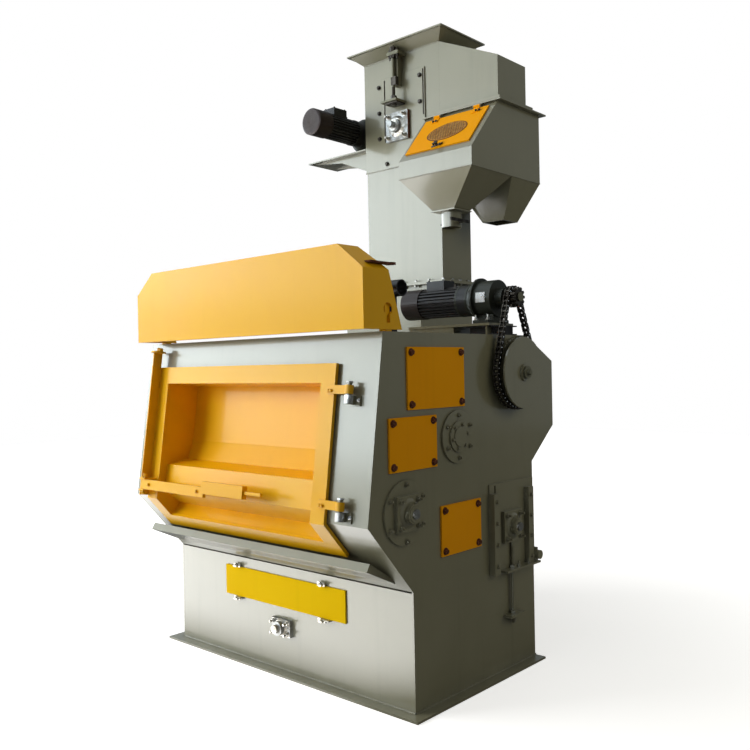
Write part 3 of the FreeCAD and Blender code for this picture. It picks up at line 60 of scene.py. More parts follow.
def make_camera():
    data = bpy.data.cameras.new("camera")
    data.sensor_width = SENSOR
    data.lens = SENSOR * FOCAL_PIXELS / PICTURE_PIXELS
    camera = bpy.data.objects.new("camera", data)
    bpy.context.scene.collection.objects.link(camera)
    forward = Vector((-math.sin(CAMERA_YAW) * math.cos(CAMERA_PITCH),
                      math.cos(CAMERA_YAW) * math.cos(CAMERA_PITCH), math.sin(CAMERA_PITCH)))
    level = Vector((math.cos(CAMERA_YAW), math.sin(CAMERA_YAW), 0))
    upright = level.cross(forward)
    right = level * math.cos(CAMERA_ROLL) + upright * math.sin(CAMERA_ROLL)
    up = upright * math.cos(CAMERA_ROLL) - level * math.sin(CAMERA_ROLL)
    turn = Matrix((right, up, -forward)).transposed().to_4x4()
    camera.matrix_world = Matrix.Translation(CAMERA_PLACE) @ turn
    bpy.context.scene.camera = camera
    return camera


camera = make_camera()
print("lens", round(camera.data.lens, 2))

# %% [markdown]
# Short helpers that build shader trees, used by the light, the floor and every finish below.

# %% Node helpers


def group(name, inputs, outputs):
    """An empty shader group with float, colour or vector sockets, and its two end nodes."""
    tree = bpy.data.node_groups.new(name, "ShaderNodeTree")
    kinds = {"value": "NodeSocketFloat", "colour": "NodeSocketColor", "vector": "NodeSocketVector"}
    for label, kind, default in inputs:
        socket = tree.interface.new_socket(label, in_out="INPUT", socket_type=kinds[kind])
        socket.default_value = default
    for label, kind in outputs:
        tree.interface.new_socket(label, in_out="OUTPUT", socket_type=kinds[kind])
    return tree, tree.nodes.new("NodeGroupInput"), tree.nodes.new("NodeGroupOutput")


def math_node(tree, operation, first, second=None, third=None, clamp=False):
    node = tree.nodes.new("ShaderNodeMath")
    node.operation = operation
    node.use_clamp = clamp
    for index, source in enumerate((first, second, third)):
        if source is None:
            continue
        if isinstance(source, (int, float)):
            node.inputs[index].default_value = source
        else:
            tree.links.new(source, node.inputs[index])
    return node.outputs[0]


def ramp(tree, source, low, high):
    """0 below low, 1 above high, smooth between."""
    node = tree.nodes.new("ShaderNodeMapRange")
    node.interpolation_type = "SMOOTHSTEP"
    node.inputs["From Min"].default_value = low
    node.inputs["From Max"].default_value = high
    tree.links.new(source, node.inputs["Value"])
    return node.outputs["Result"]


def noise(tree, vector, scale, detail=3.0, rough=0.55):
    node = tree.nodes.new("ShaderNodeTexNoise")
    if isinstance(scale, (int, float)):
        node.inputs["Scale"].default_value = scale
    else:
        tree.links.new(scale, node.inputs["Scale"])
    node.inputs["Detail"].default_value = detail
    node.inputs["Roughness"].default_value = rough
    tree.links.new(vector, node.inputs["Vector"])
    return node.outputs["Fac"]


def blend(tree, mask, first, second):
    """First where the mask is 0, second where it is 1; both may be colours or sockets."""
    node = tree.nodes.new("ShaderNodeMix")
    node.data_type = "RGBA"
    tree.links.new(mask, node.inputs["Factor"])
    for label, source in (("A", first), ("B", second)):
        socket = [s for s in node.inputs if s.name == label and s.type == "RGBA"][0]
        if isinstance(source, tuple):
            socket.default_value = source + (1.0,)
        else:
            tree.links.new(source, socket)
    return [s for s in node.outputs if s.type == "RGBA"][0]


# %% [markdown]
# The light is plain: one large soft lamp in front on the left, so the front is bright and the right
# side lies in half shade as in a workshop, and a weak warm one on the right. The background is white
# to the camera alone. Glossy paint mirrors a bright window on the left, and below it a floor that glows
# to glossy rays alone: a painted reflection.

# %% Light
WINDOW_GLOW = 5.5
scene = bpy.context.scene
scene.view_settings.view_transform = "Standard"


def lamp(name, place, aim, width, height, watts, tint):
    data = bpy.data.lights.new(name, "AREA")
    data.shape = "RECTANGLE"
    data.size = width
    data.size_y = height
    data.energy = watts
    data.color = tint
    thing = bpy.data.objects.new(name, data)
    bpy.context.scene.collection.objects.link(thing)
    heading = (Vector(aim) - Vector(place)).to_track_quat("-Z", "Y")
    thing.matrix_world = Matrix.Translation(place) @ heading.to_matrix().to_4x4()
    thing.visible_glossy = False


for name, place, aim, wide, tall, watts, tint in (
        ("front_window", (-5.2, -4.6, 3.0), (-0.1, 0.2, 1.4), 5.0, 3.6, 500, (1.0, 1.0, 0.99)),
        ("side_window", (5.6, 2.4, 3.6), (0.4, 0.8, 2.2), 2.6, 3.0, 58, (1.0, 0.94, 0.72)),
        ("roof_light", (-0.6, -1.6, 7.2), (0.1, 0.4, 1.5), 4.0, 4.0, 80, (1.0, 1.0, 1.0))):
    lamp(name, place, aim, wide, tall, watts, tint)


def make_world():
    """White to the camera, dim to the surfaces, and to reflections a bright window on the left."""
    world = bpy.data.worlds.new("studio")
    scene.world = world
    world.use_nodes = True
    tree = world.node_tree
    tree.nodes.clear()
    path = tree.nodes.new("ShaderNodeLightPath")
    way = tree.nodes.new("ShaderNodeSeparateXYZ")
    tree.links.new(tree.nodes.new("ShaderNodeTexCoord").outputs["Generated"], way.inputs[0])
    across = math_node(tree, "ADD", way.outputs["X"], way.outputs["Y"])
    left = ramp(tree, math_node(tree, "MULTIPLY", across, -1.0), 0.1, 0.9)
    low_edge = ramp(tree, way.outputs["Z"], 0.06, 0.11)
    high_edge = ramp(tree, way.outputs["Z"], 0.22, 0.30)
    window = math_node(tree, "SUBTRACT", low_edge, high_edge, clamp=True)
    glow = math_node(tree, "MULTIPLY_ADD", window, WINDOW_GLOW, 1.5)
    glow = math_node(tree, "MULTIPLY_ADD", glow, left, 0.25)
    dim = tree.nodes.new("ShaderNodeBackground")
    dim.inputs["Color"].default_value = (1.0, 0.97, 0.86, 1)
    dim.inputs["Strength"].default_value = 0.12
    glossy = tree.nodes.new("ShaderNodeBackground")
    glossy.inputs["Color"].default_value = (0.84, 0.94, 1.0, 1)
    tree.links.new(glow, glossy.inputs["Strength"])
    white = tree.nodes.new("ShaderNodeBackground")
    white.inputs["Color"].default_value = (1, 1, 1, 1)
    first = tree.nodes.new("ShaderNodeMixShader")
    second = tree.nodes.new("ShaderNodeMixShader")
    out = tree.nodes.new("ShaderNodeOutputWorld")
    tree.links.new(path.outputs["Is Glossy Ray"], first.inputs["Fac"])
    tree.links.new(dim.outputs[0], first.inputs[1])
    tree.links.new(glossy.outputs[0], first.inputs[2])
    tree.links.new(path.outputs["Is Camera Ray"], second.inputs["Fac"])
    tree.links.new(first.outputs[0], second.inputs[1])
    tree.links.new(white.outputs[0], second.inputs[2])
    tree.links.new(second.outputs[0], out.inputs["Surface"])


make_world()

# %% [markdown]
# Each finish is a node material. Three shader groups are shared by all of them: one finds worn
# edges, one darkens where pieces meet, painted shade with grime, one lays slow stains and streaks over
# large sheets.
# A group gives out only masks and values, and the Principled shader stays in the material.

# %% Edge wear


def edge_wear_group():
    """A mask that is 1 on outer edges, broken up by a fine noise."""
    tree, start, end = group("edge_wear", [("Vector", "vector", (0, 0, 0)), ("Radius", "value", 0.004),
                                           ("Amount", "value", 0.5)], [("Mask", "value")])
    bevel = tree.nodes.new("ShaderNodeBevel")
    bevel.samples = 3
    tree.links.new(start.outputs["Radius"], bevel.inputs["Radius"])
    shape = tree.nodes.new("ShaderNodeNewGeometry")
    dot = tree.nodes.new("ShaderNodeVectorMath")
    dot.operation = "DOT_PRODUCT"
    tree.links.new(bevel.outputs["Normal"], dot.inputs[0])
    tree.links.new(shape.outputs["Normal"], dot.inputs[1])
    edge = math_node(tree, "SUBTRACT", 1.0, dot.outputs["Value"])
    edge = math_node(tree, "MULTIPLY", edge, 6.0, clamp=True)
    grain = ramp(tree, noise(tree, start.outputs["Vector"], 60.0, 4.0), 0.38, 0.62)
    worn = math_node(tree, "MULTIPLY", edge, grain)
    worn = math_node(tree, "MULTIPLY", worn, start.outputs["Amount"], clamp=True)
    tree.links.new(worn, end.inputs["Mask"])
    return tree


EDGE_WEAR = edge_wear_group()

# %% [markdown]
# Dust and spent shot gather where plates meet and round every bolt head. Ambient occlusion finds
# those places, where shade falls, and the paint is darkened there: painted shade as well as dirt. A
# coarse noise breaks it up, because dirt never lies evenly.

# %% Corner shade and grime


def corner_shade_and_grime_group():
    """A mask that is 1 in corners and round fasteners: painted shade from ambient occlusion, with dust
    and shot powder.
    """
    tree, start, end = group("corner_shade_and_grime", [("Vector", "vector", (0, 0, 0)), ("Reach", "value", 0.09),
                                              ("Amount", "value", 0.6)], [("Mask", "value")])
    shade = tree.nodes.new("ShaderNodeAmbientOcclusion")
    shade.samples = 5
    tree.links.new(start.outputs["Reach"], shade.inputs["Distance"])
    # One minus ambient occlusion: the shade in corners, painted into the colour with grime.
    dark = math_node(tree, "SUBTRACT", 1.0, shade.outputs["AO"])
    patch = ramp(tree, noise(tree, start.outputs["Vector"], 9.0, 4.0), 0.25, 0.75)
    patch = math_node(tree, "MULTIPLY_ADD", patch, 0.7, 0.3)
    shade_grime = math_node(tree, "MULTIPLY", dark, patch)
    shade_grime = math_node(tree, "MULTIPLY", shade_grime, start.outputs["Amount"], clamp=True)
    tree.links.new(shade_grime, end.inputs["Mask"])
    return tree


CORNER_SHADE_AND_GRIME = corner_shade_and_grime_group()

# %% [markdown]
# A large painted sheet is never one tone. It fades in clouds, dirty water leaves streaks, thin plate
# ripples and sprayed paint has a fine grain. One group gives all four, and each paint takes its share.

# %% Sheet stains


def sheet_stain_group():
    """Slow cloudy fading and downward streaks over large sheets, with the ripple of thin plate."""
    tree, start, end = group("sheet_stain", [("Vector", "vector", (0, 0, 0)), ("Clouds", "value", 1.4),
                                             ("Streaks", "value", 14.0)],
                             [("Cloud", "value"), ("Streak", "value"), ("Ripple", "value"),
                              ("Grain", "value")])
    cloud = ramp(tree, noise(tree, start.outputs["Vector"], start.outputs["Clouds"], 4.0), 0.3, 0.7)
    stretch = tree.nodes.new("ShaderNodeVectorMath")
    stretch.operation = "MULTIPLY"
    stretch.inputs[1].default_value = (1.0, 1.0, 0.06)
    tree.links.new(start.outputs["Vector"], stretch.inputs[0])
    streak = ramp(tree, noise(tree, stretch.outputs[0], start.outputs["Streaks"], 3.0), 0.52, 0.8)
    ripple = noise(tree, start.outputs["Vector"], 2.6, 1.0)
    grain = noise(tree, start.outputs["Vector"], 220.0, 2.0)
    for label, source in (("Cloud", cloud), ("Streak", streak), ("Ripple", ripple), ("Grain", grain)):
        tree.links.new(source, end.inputs[label])
    return tree


SHEET_STAIN = sheet_stain_group()
print("groups", [g.name for g in bpy.data.node_groups])

# %% [markdown]
# Enamel on plate is brushed or sprayed thickly, so it is glossy with a slight orange peel. It fades
# in clouds, is darker in corners with grime and painted shade, and shows primer or rust at worn edges.
# One function makes every paint of the machine. The covers' amber and lemon are duller than the door, so
# they reflect less.

# %% Enamel


def place_group(tree, shared, vector, **values):
    node = tree.nodes.new("ShaderNodeGroup")
    node.node_tree = shared
    tree.links.new(vector, node.inputs["Vector"])
    for label, number in values.items():
        node.inputs[label].default_value = number
    return node


def new_material(name):
    made = bpy.data.materials.new(name)
    made.use_nodes = True
    tree = made.node_tree
    tree.nodes.clear()
    shader = tree.nodes.new("ShaderNodeBsdfPrincipled")
    out = tree.nodes.new("ShaderNodeOutputMaterial")
    tree.links.new(shader.outputs[0], out.inputs["Surface"])
    where = tree.nodes.new("ShaderNodeTexCoord").outputs["Object"]
    return made, tree, shader, where


def add_bump(tree, shader, height, strength, distance):
    bump = tree.nodes.new("ShaderNodeBump")
    bump.inputs["Strength"].default_value = strength
    bump.inputs["Distance"].default_value = distance
    tree.links.new(height, bump.inputs["Height"])
    tree.links.new(bump.outputs["Normal"], shader.inputs["Normal"])


def enamel(name, colour, faded, dirt_and_shade, under, gloss=0.25, wear=0.5, shade_grime=0.7, clouds=1.4, streak=0.3,
           coat=0.12, shine=0.5):
    """Thick paint on plate: colour and faded tint in clouds, dirt and painted shade in corners, bare
    metal at edges.
    """
    made, tree, shader, where = new_material(name)
    stain = place_group(tree, SHEET_STAIN, where, Clouds=clouds)
    corners = place_group(tree, CORNER_SHADE_AND_GRIME, where, Amount=shade_grime)
    edges = place_group(tree, EDGE_WEAR, where, Amount=wear)
    paint = blend(tree, stain.outputs["Cloud"], colour, faded)
    run = math_node(tree, "MULTIPLY", stain.outputs["Streak"], streak)
    paint = blend(tree, run, paint, dirt_and_shade)
    # Corners turn to the dark colour by ambient occlusion: painted shade with grime.
    paint = blend(tree, corners.outputs["Mask"], paint, dirt_and_shade)
    paint = blend(tree, edges.outputs["Mask"], paint, under)
    tree.links.new(paint, shader.inputs["Base Color"])
    rough = math_node(tree, "MULTIPLY_ADD", stain.outputs["Cloud"], 0.08, gloss)
    rough = math_node(tree, "MULTIPLY_ADD", corners.outputs["Mask"], 0.4, rough)
    rough = math_node(tree, "MULTIPLY_ADD", run, 0.3, rough, clamp=True)
    tree.links.new(rough, shader.inputs["Roughness"])
    shader.inputs["Coat Weight"].default_value = coat
    shader.inputs["Specular IOR Level"].default_value = shine
    shader.inputs["Coat Roughness"].default_value = 0.12
    height = math_node(tree, "MULTIPLY_ADD", stain.outputs["Ripple"], 1.0, stain.outputs["Grain"])
    height = math_node(tree, "MULTIPLY_ADD", stain.outputs["Ripple"], 6.0, height)
    add_bump(tree, shader, height, 0.35, 0.0012)
    return made


GREEN = enamel("green_grey_enamel", (0.210, 0.202, 0.130), (0.236, 0.228, 0.152), (0.065, 0.056, 0.034),
               (0.12, 0.08, 0.05), gloss=0.30, wear=0.35, streak=0.1, coat=0.9)
YELLOW = enamel("yellow_enamel", (0.86, 0.44, 0.003), (0.90, 0.49, 0.004), (0.36, 0.15, 0.004),
                (0.42, 0.17, 0.05), gloss=0.32, wear=0.3, shade_grime=0.5, streak=0.05, coat=0.22, shine=0.22)
AMBER = enamel("amber_cover_enamel", (0.96, 0.385, 0.0005), (0.99, 0.42, 0.001), (0.36, 0.12, 0.002),
               (0.42, 0.17, 0.05), gloss=0.45, wear=0.25, shade_grime=0.45, streak=0.05, coat=0.0, shine=0.12)
LEMON = enamel("lemon_cover_enamel", (0.97, 0.60, 0.0005), (0.99, 0.64, 0.001), (0.35, 0.18, 0.005),
               (0.42, 0.17, 0.05), gloss=0.5, wear=0.25, shade_grime=0.45, streak=0.05, coat=0.0, shine=0.08)
BLACK = enamel("black_motor_enamel", (0.008, 0.008, 0.010), (0.014, 0.014, 0.016), (0.05, 0.045, 0.04),
               (0.10, 0.09, 0.08), gloss=0.32, wear=0.5, shade_grime=0.5, clouds=5.0, streak=0.1, coat=0.05,
               shine=0.3)
GEAR_GREEN = enamel("dark_gear_enamel", (0.013, 0.016, 0.011), (0.022, 0.025, 0.018),
                    (0.05, 0.045, 0.035), (0.10, 0.09, 0.08), gloss=0.34, wear=0.4, shade_grime=0.5,
                    clouds=5.0, streak=0.1, coat=0.05, shine=0.3)
COWL = enamel("brown_cowl_enamel", (0.016, 0.009, 0.008), (0.026, 0.014, 0.012), (0.05, 0.04, 0.03),
              (0.10, 0.07, 0.05), gloss=0.4, wear=0.3, shade_grime=0.5, clouds=5.0, streak=0.1, coat=0.05,
              shine=0.3)
# A darker copy of the green enamel: painted shade for pieces that lie in shadow.
SHADED_OLIVE = enamel("shaded_olive_enamel", (0.13, 0.13, 0.085), (0.17, 0.17, 0.11), (0.05, 0.045, 0.03),
                    (0.12, 0.08, 0.05), gloss=0.42, wear=0.3)
print("paints", [m.name for m in bpy.data.materials])

# %% [markdown]
# Bare steel is bright with a dull film in patches, chain and screws are oiled and nearly black, and
# the belt is matte rubber. They are simpler than enamel: a tint, a roughness and a fine bump.

# %% Bare metals and rubber


def bare_metal(name, bright, dull, rough, metallic=1.0, scale=24.0):
    """Uncoated steel with a dull film in patches."""
    made, tree, shader, where = new_material(name)
    film = ramp(tree, noise(tree, where, scale, 4.0), 0.35, 0.65)
    tree.links.new(blend(tree, film, bright, dull), shader.inputs["Base Color"])
    spread = math_node(tree, "MULTIPLY_ADD", film, 0.22, rough)
    tree.links.new(spread, shader.inputs["Roughness"])
    shader.inputs["Metallic"].default_value = metallic
    add_bump(tree, shader, noise(tree, where, 180.0, 2.0), 0.25, 0.0006)
    return made


STEEL = bare_metal("turned_steel", (0.52, 0.53, 0.54), (0.30, 0.29, 0.27), 0.24)
CAST = bare_metal("cast_bearing_iron", (0.36, 0.37, 0.37), (0.20, 0.19, 0.17), 0.42)
OILED = bare_metal("oiled_chain_steel", (0.07, 0.062, 0.052), (0.035, 0.028, 0.022), 0.34, 0.85)
ZINC = bare_metal("zinc_fastener", (0.50, 0.49, 0.46), (0.28, 0.25, 0.20), 0.30, 1.0, 60.0)
BROWN = bare_metal("rusted_fastener", (0.16, 0.05, 0.02), (0.08, 0.025, 0.012), 0.6, 0.3, 90.0)
VENT = bare_metal("vent_sheet_steel", (0.50, 0.24, 0.03), (0.36, 0.15, 0.02), 0.45, 0.2, 40.0)
RUBBER = bare_metal("belt_rubber", (0.018, 0.018, 0.018), (0.035, 0.033, 0.03), 0.6, 0.0, 12.0)

# %% [markdown]
# The record names a material slot for every node, so the paint follows from it. A few nodes differ on
# the real machine: the covers are a stronger yellow than the door, and the cast bearings are bare.

# %% Give each node its finish
FINISHES = {
    "green_paint": GREEN, "yellow_paint": YELLOW, "black_paint": BLACK, "bare_steel": STEEL,
    "oiled_steel": OILED, "belt_rubber": RUBBER,
}
# The take-up screw gets the darker, shaded copy of the green: painted shade.
OWN_FINISH = {"front_bearing": CAST, "head_bearing": CAST, "side_covers": AMBER, "access_cover": LEMON,
              "hatch_panel": AMBER, "drive_reducer": GEAR_GREEN, "head_reducer": GEAR_GREEN,
              "take_up_screw": SHADED_OLIVE, "gate_lever": OILED}
for entry in frame["record"]["subparts"]:
    solid = nodes[entry["node"]]
    finish = OWN_FINISH.get(entry["node"], FINISHES[entry["material_slot"]])
    solid.data.materials.clear()
    solid.data.materials.append(finish)
print("finishes", sorted(m.name for m in bpy.data.materials if m.users))

# %% [markdown]
# Bolts, studs, threads and welds are small joined meshes. Each is made at its true size and place, and
# rides on the body that carries it. Places are millimetres and pass through mm(); sizes are metres.

# %% Fastener helpers


def mm(x, y, z):
    return Vector((x, y, z)) / 1000.0


def facing(place, normal, spin=0.0):
    """A matrix at a place whose Z runs along the normal."""
    turn = Vector(normal).to_track_quat("Z", "Y").to_matrix().to_4x4()
    return Matrix.Translation(place) @ turn @ Matrix.Rotation(spin, 4, "Z")


def barrel(work, place, normal, radius, height, sides=16, tip=None, spin=0.0):
    """A round or many-sided bar that stands on the place, along the normal."""
    middle = Vector(place) + Vector(normal).normalized() * height / 2
    bmesh.ops.create_cone(work, cap_ends=True, segments=sides, radius1=radius,
                          radius2=radius if tip is None else tip, depth=height,
                          matrix=facing(middle, normal, spin))


def slab(work, low, high):
    """A box between two corners."""
    low, high = Vector(low), Vector(high)
    size = high - low
    bmesh.ops.create_cube(work, size=1.0,
                          matrix=Matrix.Translation((low + high) / 2) @ Matrix.Diagonal((*size, 1.0)))


def bolt(work, place, normal, across=0.019, spin=0.0, washer=1.0):
    """A hexagon head with a chamfered top on a washer."""
    along = Vector(normal).normalized()
    place = Vector(place)
    barrel(work, place, along, across * 0.74 * washer, across * 0.12, 18)
    foot = place + along * across * 0.12
    radius = across / math.sqrt(3)
    barrel(work, foot, along, radius, across * 0.48, 6, spin=spin)
    barrel(work, foot + along * across * 0.48, along, radius, across * 0.12, 6, radius * 0.8, spin)


def stud(work, place, normal, across=0.019, reach=1.5, spin=0.0):
    """A nut on a washer with the stud's end standing out of it."""
    along = Vector(normal).normalized()
    bolt(work, place, along, across, spin)
    barrel(work, Vector(place) + along * across * 0.5, along, across * 0.3, across * (reach - 0.5), 12)


def thread(work, start, end, radius, pitch=0.0035):
    """Sharp ridges along a screw."""
    start, end = Vector(start), Vector(end)
    along = (end - start).normalized()
    count = int((end - start).length / pitch)
    for index in range(count):
        foot = start + along * pitch * index
        barrel(work, foot, along, radius * 0.99, pitch * 0.5, 12, radius * 1.16)
        barrel(work, foot + along * pitch * 0.5, along, radius * 1.16, pitch * 0.5, 12, radius * 0.99)


def bead(work, start, end, radius, seed):
    """A weld bead: a lumpy half-buried rope along a seam."""
    start, end = Vector(start), Vector(end)
    along = (end - start).normalized()
    side = along.orthogonal().normalized()
    other = along.cross(side)
    count = max(2, int((end - start).length / 0.004))
    loops = []
    for index in range(count + 1):
        swell = 1 + 0.16 * math.sin(index * 2.1 + seed) + 0.10 * math.sin(index * 0.37 + seed * 3)
        middle = start.lerp(end, index / count) + side * radius * 0.15 * math.sin(index * 0.9 + seed)
        ring = []
        for corner in range(6):
            angle = corner * math.pi / 3
            spoke = (side * math.cos(angle) + other * math.sin(angle)) * radius * swell
            ring.append(work.verts.new(middle + spoke))
        loops.append(ring)
    for first, second in zip(loops, loops[1:]):
        for corner in range(6):
            following = (corner + 1) % 6
            work.faces.new((first[corner], first[following], second[following], second[corner]))


def piece(name, work, finish, body="machine"):
    """Turns the gathered mesh into an object that rides on a body."""
    bmesh.ops.recalc_face_normals(work, faces=work.faces[:])
    mesh = bpy.data.meshes.new(name)
    work.to_mesh(mesh)
    work.free()
    made = bpy.data.objects.new(name, mesh)
    scene.collection.objects.link(made)
    mesh.materials.append(finish)
    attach(made, body)
    print(name, "on", body, len(mesh.polygons), "faces")


def circle_places(y, z, radius, count, start=0.0):
    """Places round a shaft on the side of the machine, as (y, z)."""
    turns = [start + 2 * math.pi * index / count for index in range(count)]
    return [(y + radius * math.cos(turn), z + radius * math.sin(turn)) for turn in turns]


# %% [markdown]
# The three yellow covers on the right side hold on four bolts each. Their heads were never painted, so
# they are rusty brown and a little darker than the paint round them.

# %% Cover bolts
HALF = 817.0
COVER_FACE = HALF + 8
COVERS = ((-20, 1276, 394, 262), (-142, 1026, 310, 222), (190, 630, 294, 220))
COVER_BOLT_IN, COVER_BOLT_UP = 24, 22


def cover_bolts():
    """Four rusty bolts at the corners of each yellow cover, given as low corner, width and height."""
    work = bmesh.new()
    for low_y, low_z, wide, tall in COVERS:
        for y in (low_y + COVER_BOLT_IN, low_y + wide - COVER_BOLT_IN):
            for z in (low_z + COVER_BOLT_UP, low_z + tall - COVER_BOLT_UP):
                bolt(work, mm(COVER_FACE, y, z), (1, 0, 0), 0.020, y + z, 1.1)
    piece("cover_bolts", work, BROWN)


cover_bolts()

# %% [markdown]
# Every shaft of the belt runs in a flange or bearing on both side plates. Their studs were painted over
# with the machine. They stand on circles round the shaft, so one loop places them all.

# %% Side bolts
FRONT_SHAFT = (-47, 856)
DISC_SHAFT = (323, 1143)
TENSION_SHAFT = (725, 688)
DRIVE_SHAFT = (761, 1418)
FLANGE_FACE = HALF + 10
CAP_FACE = HALF + 18
TENSION_FACE = HALF + 26
BEARING_FACE = HALF + 28
BAR_FACE = HALF + 34
BEARING_BOLT_CIRCLE = 78


def side_bolts():
    """Studs of the flanges, bearings and guide bars, alike on both sides and painted over."""
    work = bmesh.new()
    for side in (1, -1):
        out = (side, 0, 0)
        for shaft, radius, face, across, reach, count, start in (
                (FRONT_SHAFT, 118, FLANGE_FACE, 0.017, 1.2, 6, 0.52),
                (DISC_SHAFT, 94, FLANGE_FACE, 0.015, 1.2, 6, 0.52),
                (FRONT_SHAFT, BEARING_BOLT_CIRCLE, BEARING_FACE, 0.019, 1.5, 4, math.pi / 4),
                (TENSION_SHAFT, BEARING_BOLT_CIRCLE, TENSION_FACE, 0.019, 1.5, 4, math.pi / 4)):
            for y, z in circle_places(*shaft, radius, count, start):
                stud(work, mm(side * face, y, z), out, across, reach, y)
        for y, z in circle_places(*DISC_SHAFT, 55, 6, 0.2):
            bolt(work, mm(side * CAP_FACE, y, z), out, 0.013, y)
        for y, z in circle_places(*DRIVE_SHAFT, BEARING_BOLT_CIRCLE, 4, math.pi / 4):
            bolt(work, mm(side * CAP_FACE, y, z), out, 0.017, y)
        for z in (520, 620, 720, 820):
            for y in (578, 872):
                bolt(work, mm(side * BAR_FACE, y, z), out, 0.015, z)
    piece("side_bolts", work, GREEN)


side_bolts()

# %% [markdown]
# A flange bearing has a raised rim round its insert, a seal ring at the shaft and a grease nipple on
# its shoulder. Each is a short round bar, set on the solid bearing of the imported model.

# %% Bearing details


def bearing_details():
    """Raised rims, seal rings and grease nipples on the flange bearings."""
    work = bmesh.new()
    for side in (1, -1):
        out = Vector((side, 0, 0))
        for (y, z), face in ((FRONT_SHAFT, BEARING_FACE), (TENSION_SHAFT, TENSION_FACE)):
            barrel(work, mm(side * face, y, z), out, 0.062, 0.008, 40, 0.050)
            barrel(work, mm(side * (face + 30), y, z), out, 0.034, 0.003, 32)
            nipple = mm(side * (face + 14), y + 24, z + 30)
            lean = (side * 0.2, 0.6, 0.8)
            barrel(work, nipple, lean, 0.0045, 0.016, 8)
            barrel(work, nipple, lean, 0.007, 0.006, 6)
        barrel(work, mm(side * CAP_FACE, *DISC_SHAFT), out, 0.044, 0.005, 40)
    piece("bearing_details", work, GREEN)


bearing_details()

# %% [markdown]
# The belt is tightened by a long screw that pushes its bearing plate up or down. The thread is a row of
# short cones, and the nuts are six-sided bars.

# %% Tension screws
SCREW_RADIUS = 0.0092
NUT_TALL = 0.013


def tension_screws():
    """Threads and nuts of the belt tension screws, the bracket's studs and the rod's end."""
    work = bmesh.new()
    for side in (1, -1):
        x = side * (HALF + 17)
        y = TENSION_SHAFT[0]
        thread(work, mm(x, y, 470), mm(x, y, 590), SCREW_RADIUS)
        thread(work, mm(x, y, 226), mm(x, y, 256), SCREW_RADIUS)
        for z in (488, 464, 271, 246):
            barrel(work, mm(x, y, z), (0, 0, 1), 0.018, NUT_TALL, 6)
        for stud_y in (760, 850):
            stud(work, mm(side * (HALF + 30), stud_y, 488), (0, 0, 1), 0.017, 1.6)
        barrel(work, mm(side * (HALF + 28), 912, 520), (side, 0, 0), 0.022, 0.030, 20)
    piece("tension_screws", work, GREEN)


tension_screws()

# %% [markdown]
# The lower yellow cover is held by four toggles. Each is a stud, a small flat bar that turns over the
# cover's edge, a nut and a handle, so four plain solids are enough.

# %% Access clamps


def access_clamps():
    """A toggle on a stud at each corner of the lower yellow cover."""
    work = bmesh.new()
    for x in (-330, 280):
        for z, lean in ((466, 1), (308, -1)):
            foot = mm(x, 0, z + 4 * lean)
            barrel(work, foot, (0, -1, 0), 0.007, 0.030, 12)
            slab(work, mm(x - 24, -16, z + 4 * lean - 9), mm(x + 24, -10, z + 4 * lean + 9))
            barrel(work, mm(x, -16, z + 4 * lean), (0, -1, 0), 0.011, 0.008, 6)
            slab(work, mm(x - 5, -36, z - 3 + 4 * lean), mm(x + 22, -24, z + 3 + 4 * lean))
    piece("access_clamps", work, ZINC)


access_clamps()

# %% [markdown]
# The square bearing low on the front carries the screw that brings the shot to the elevator. It has
# four studs and a round nose over the shaft.

# %% Screw bearing bolts


def screw_bearing_bolts():
    """Four studs, the rim round the insert and the round nose over the shaft."""
    work = bmesh.new()
    for x in (-48, 48):
        for z in (192, 244):
            stud(work, mm(x, -18, z), (0, -1, 0), 0.019, 1.5, x)
    barrel(work, mm(0, -46, 218), (0, -1, 0), 0.020, 0.018, 24)
    barrel(work, mm(0, -18, 218), (0, -1, 0), 0.044, 0.008, 32, 0.038)
    piece("screw_bearing_bolts", work, ZINC)


screw_bearing_bolts()

# %% [markdown]
# At the elevator's head a sliding plate carries the upper bearing, and a screw lifts it to tighten the
# bucket belt. This cell adds the bolts beside its slots, the screw's thread and nuts, the stop block,
# the channel behind the screw and dark plates in the slots, a painted shadow at their bottoms.

# %% Head fasteners
SCREW_X, SCREW_Y = -193, 1118
BEARING_X, BEARING_Z = -205, 2897


def head_bolts():
    """Bolts beside the slots of the take-up plate and below its bearing."""
    work = bmesh.new()
    for x, z in ((-362, 3167), (-362, 3010), (-362, 2854),
                 (-36, 3164), (-36, 3010), (-36, 2760), (-300, 2690)):
        front = 1180 if x < -335 else 1172
        bolt(work, mm(x, front, z), (0, -1, 0), 0.019, z)
    piece("head_bolts", work, OILED)


def head_bearing_bolts():
    """Four studs, the rim round the insert and the seal of the upper shaft's bearing."""
    work = bmesh.new()
    for x in (-268, -142):
        for z in (2834, 2960):
            stud(work, mm(x, 1154, z), (0, -1, 0), 0.022, 1.6, x)
    barrel(work, mm(BEARING_X, 1154, BEARING_Z), (0, -1, 0), 0.062, 0.010, 36, 0.046)
    barrel(work, mm(BEARING_X, 1124, BEARING_Z), (0, -1, 0), 0.034, 0.004, 28)
    piece("head_bearing_bolts", work, ZINC)


def head_bearing_rust():
    """The raw edge of the cast base, which was never painted."""
    work = bmesh.new()
    slab(work, mm(-119.7, 1155, 2813), mm(-117.5, 1171.5, 2981))
    piece("head_bearing_rust", work, BROWN)


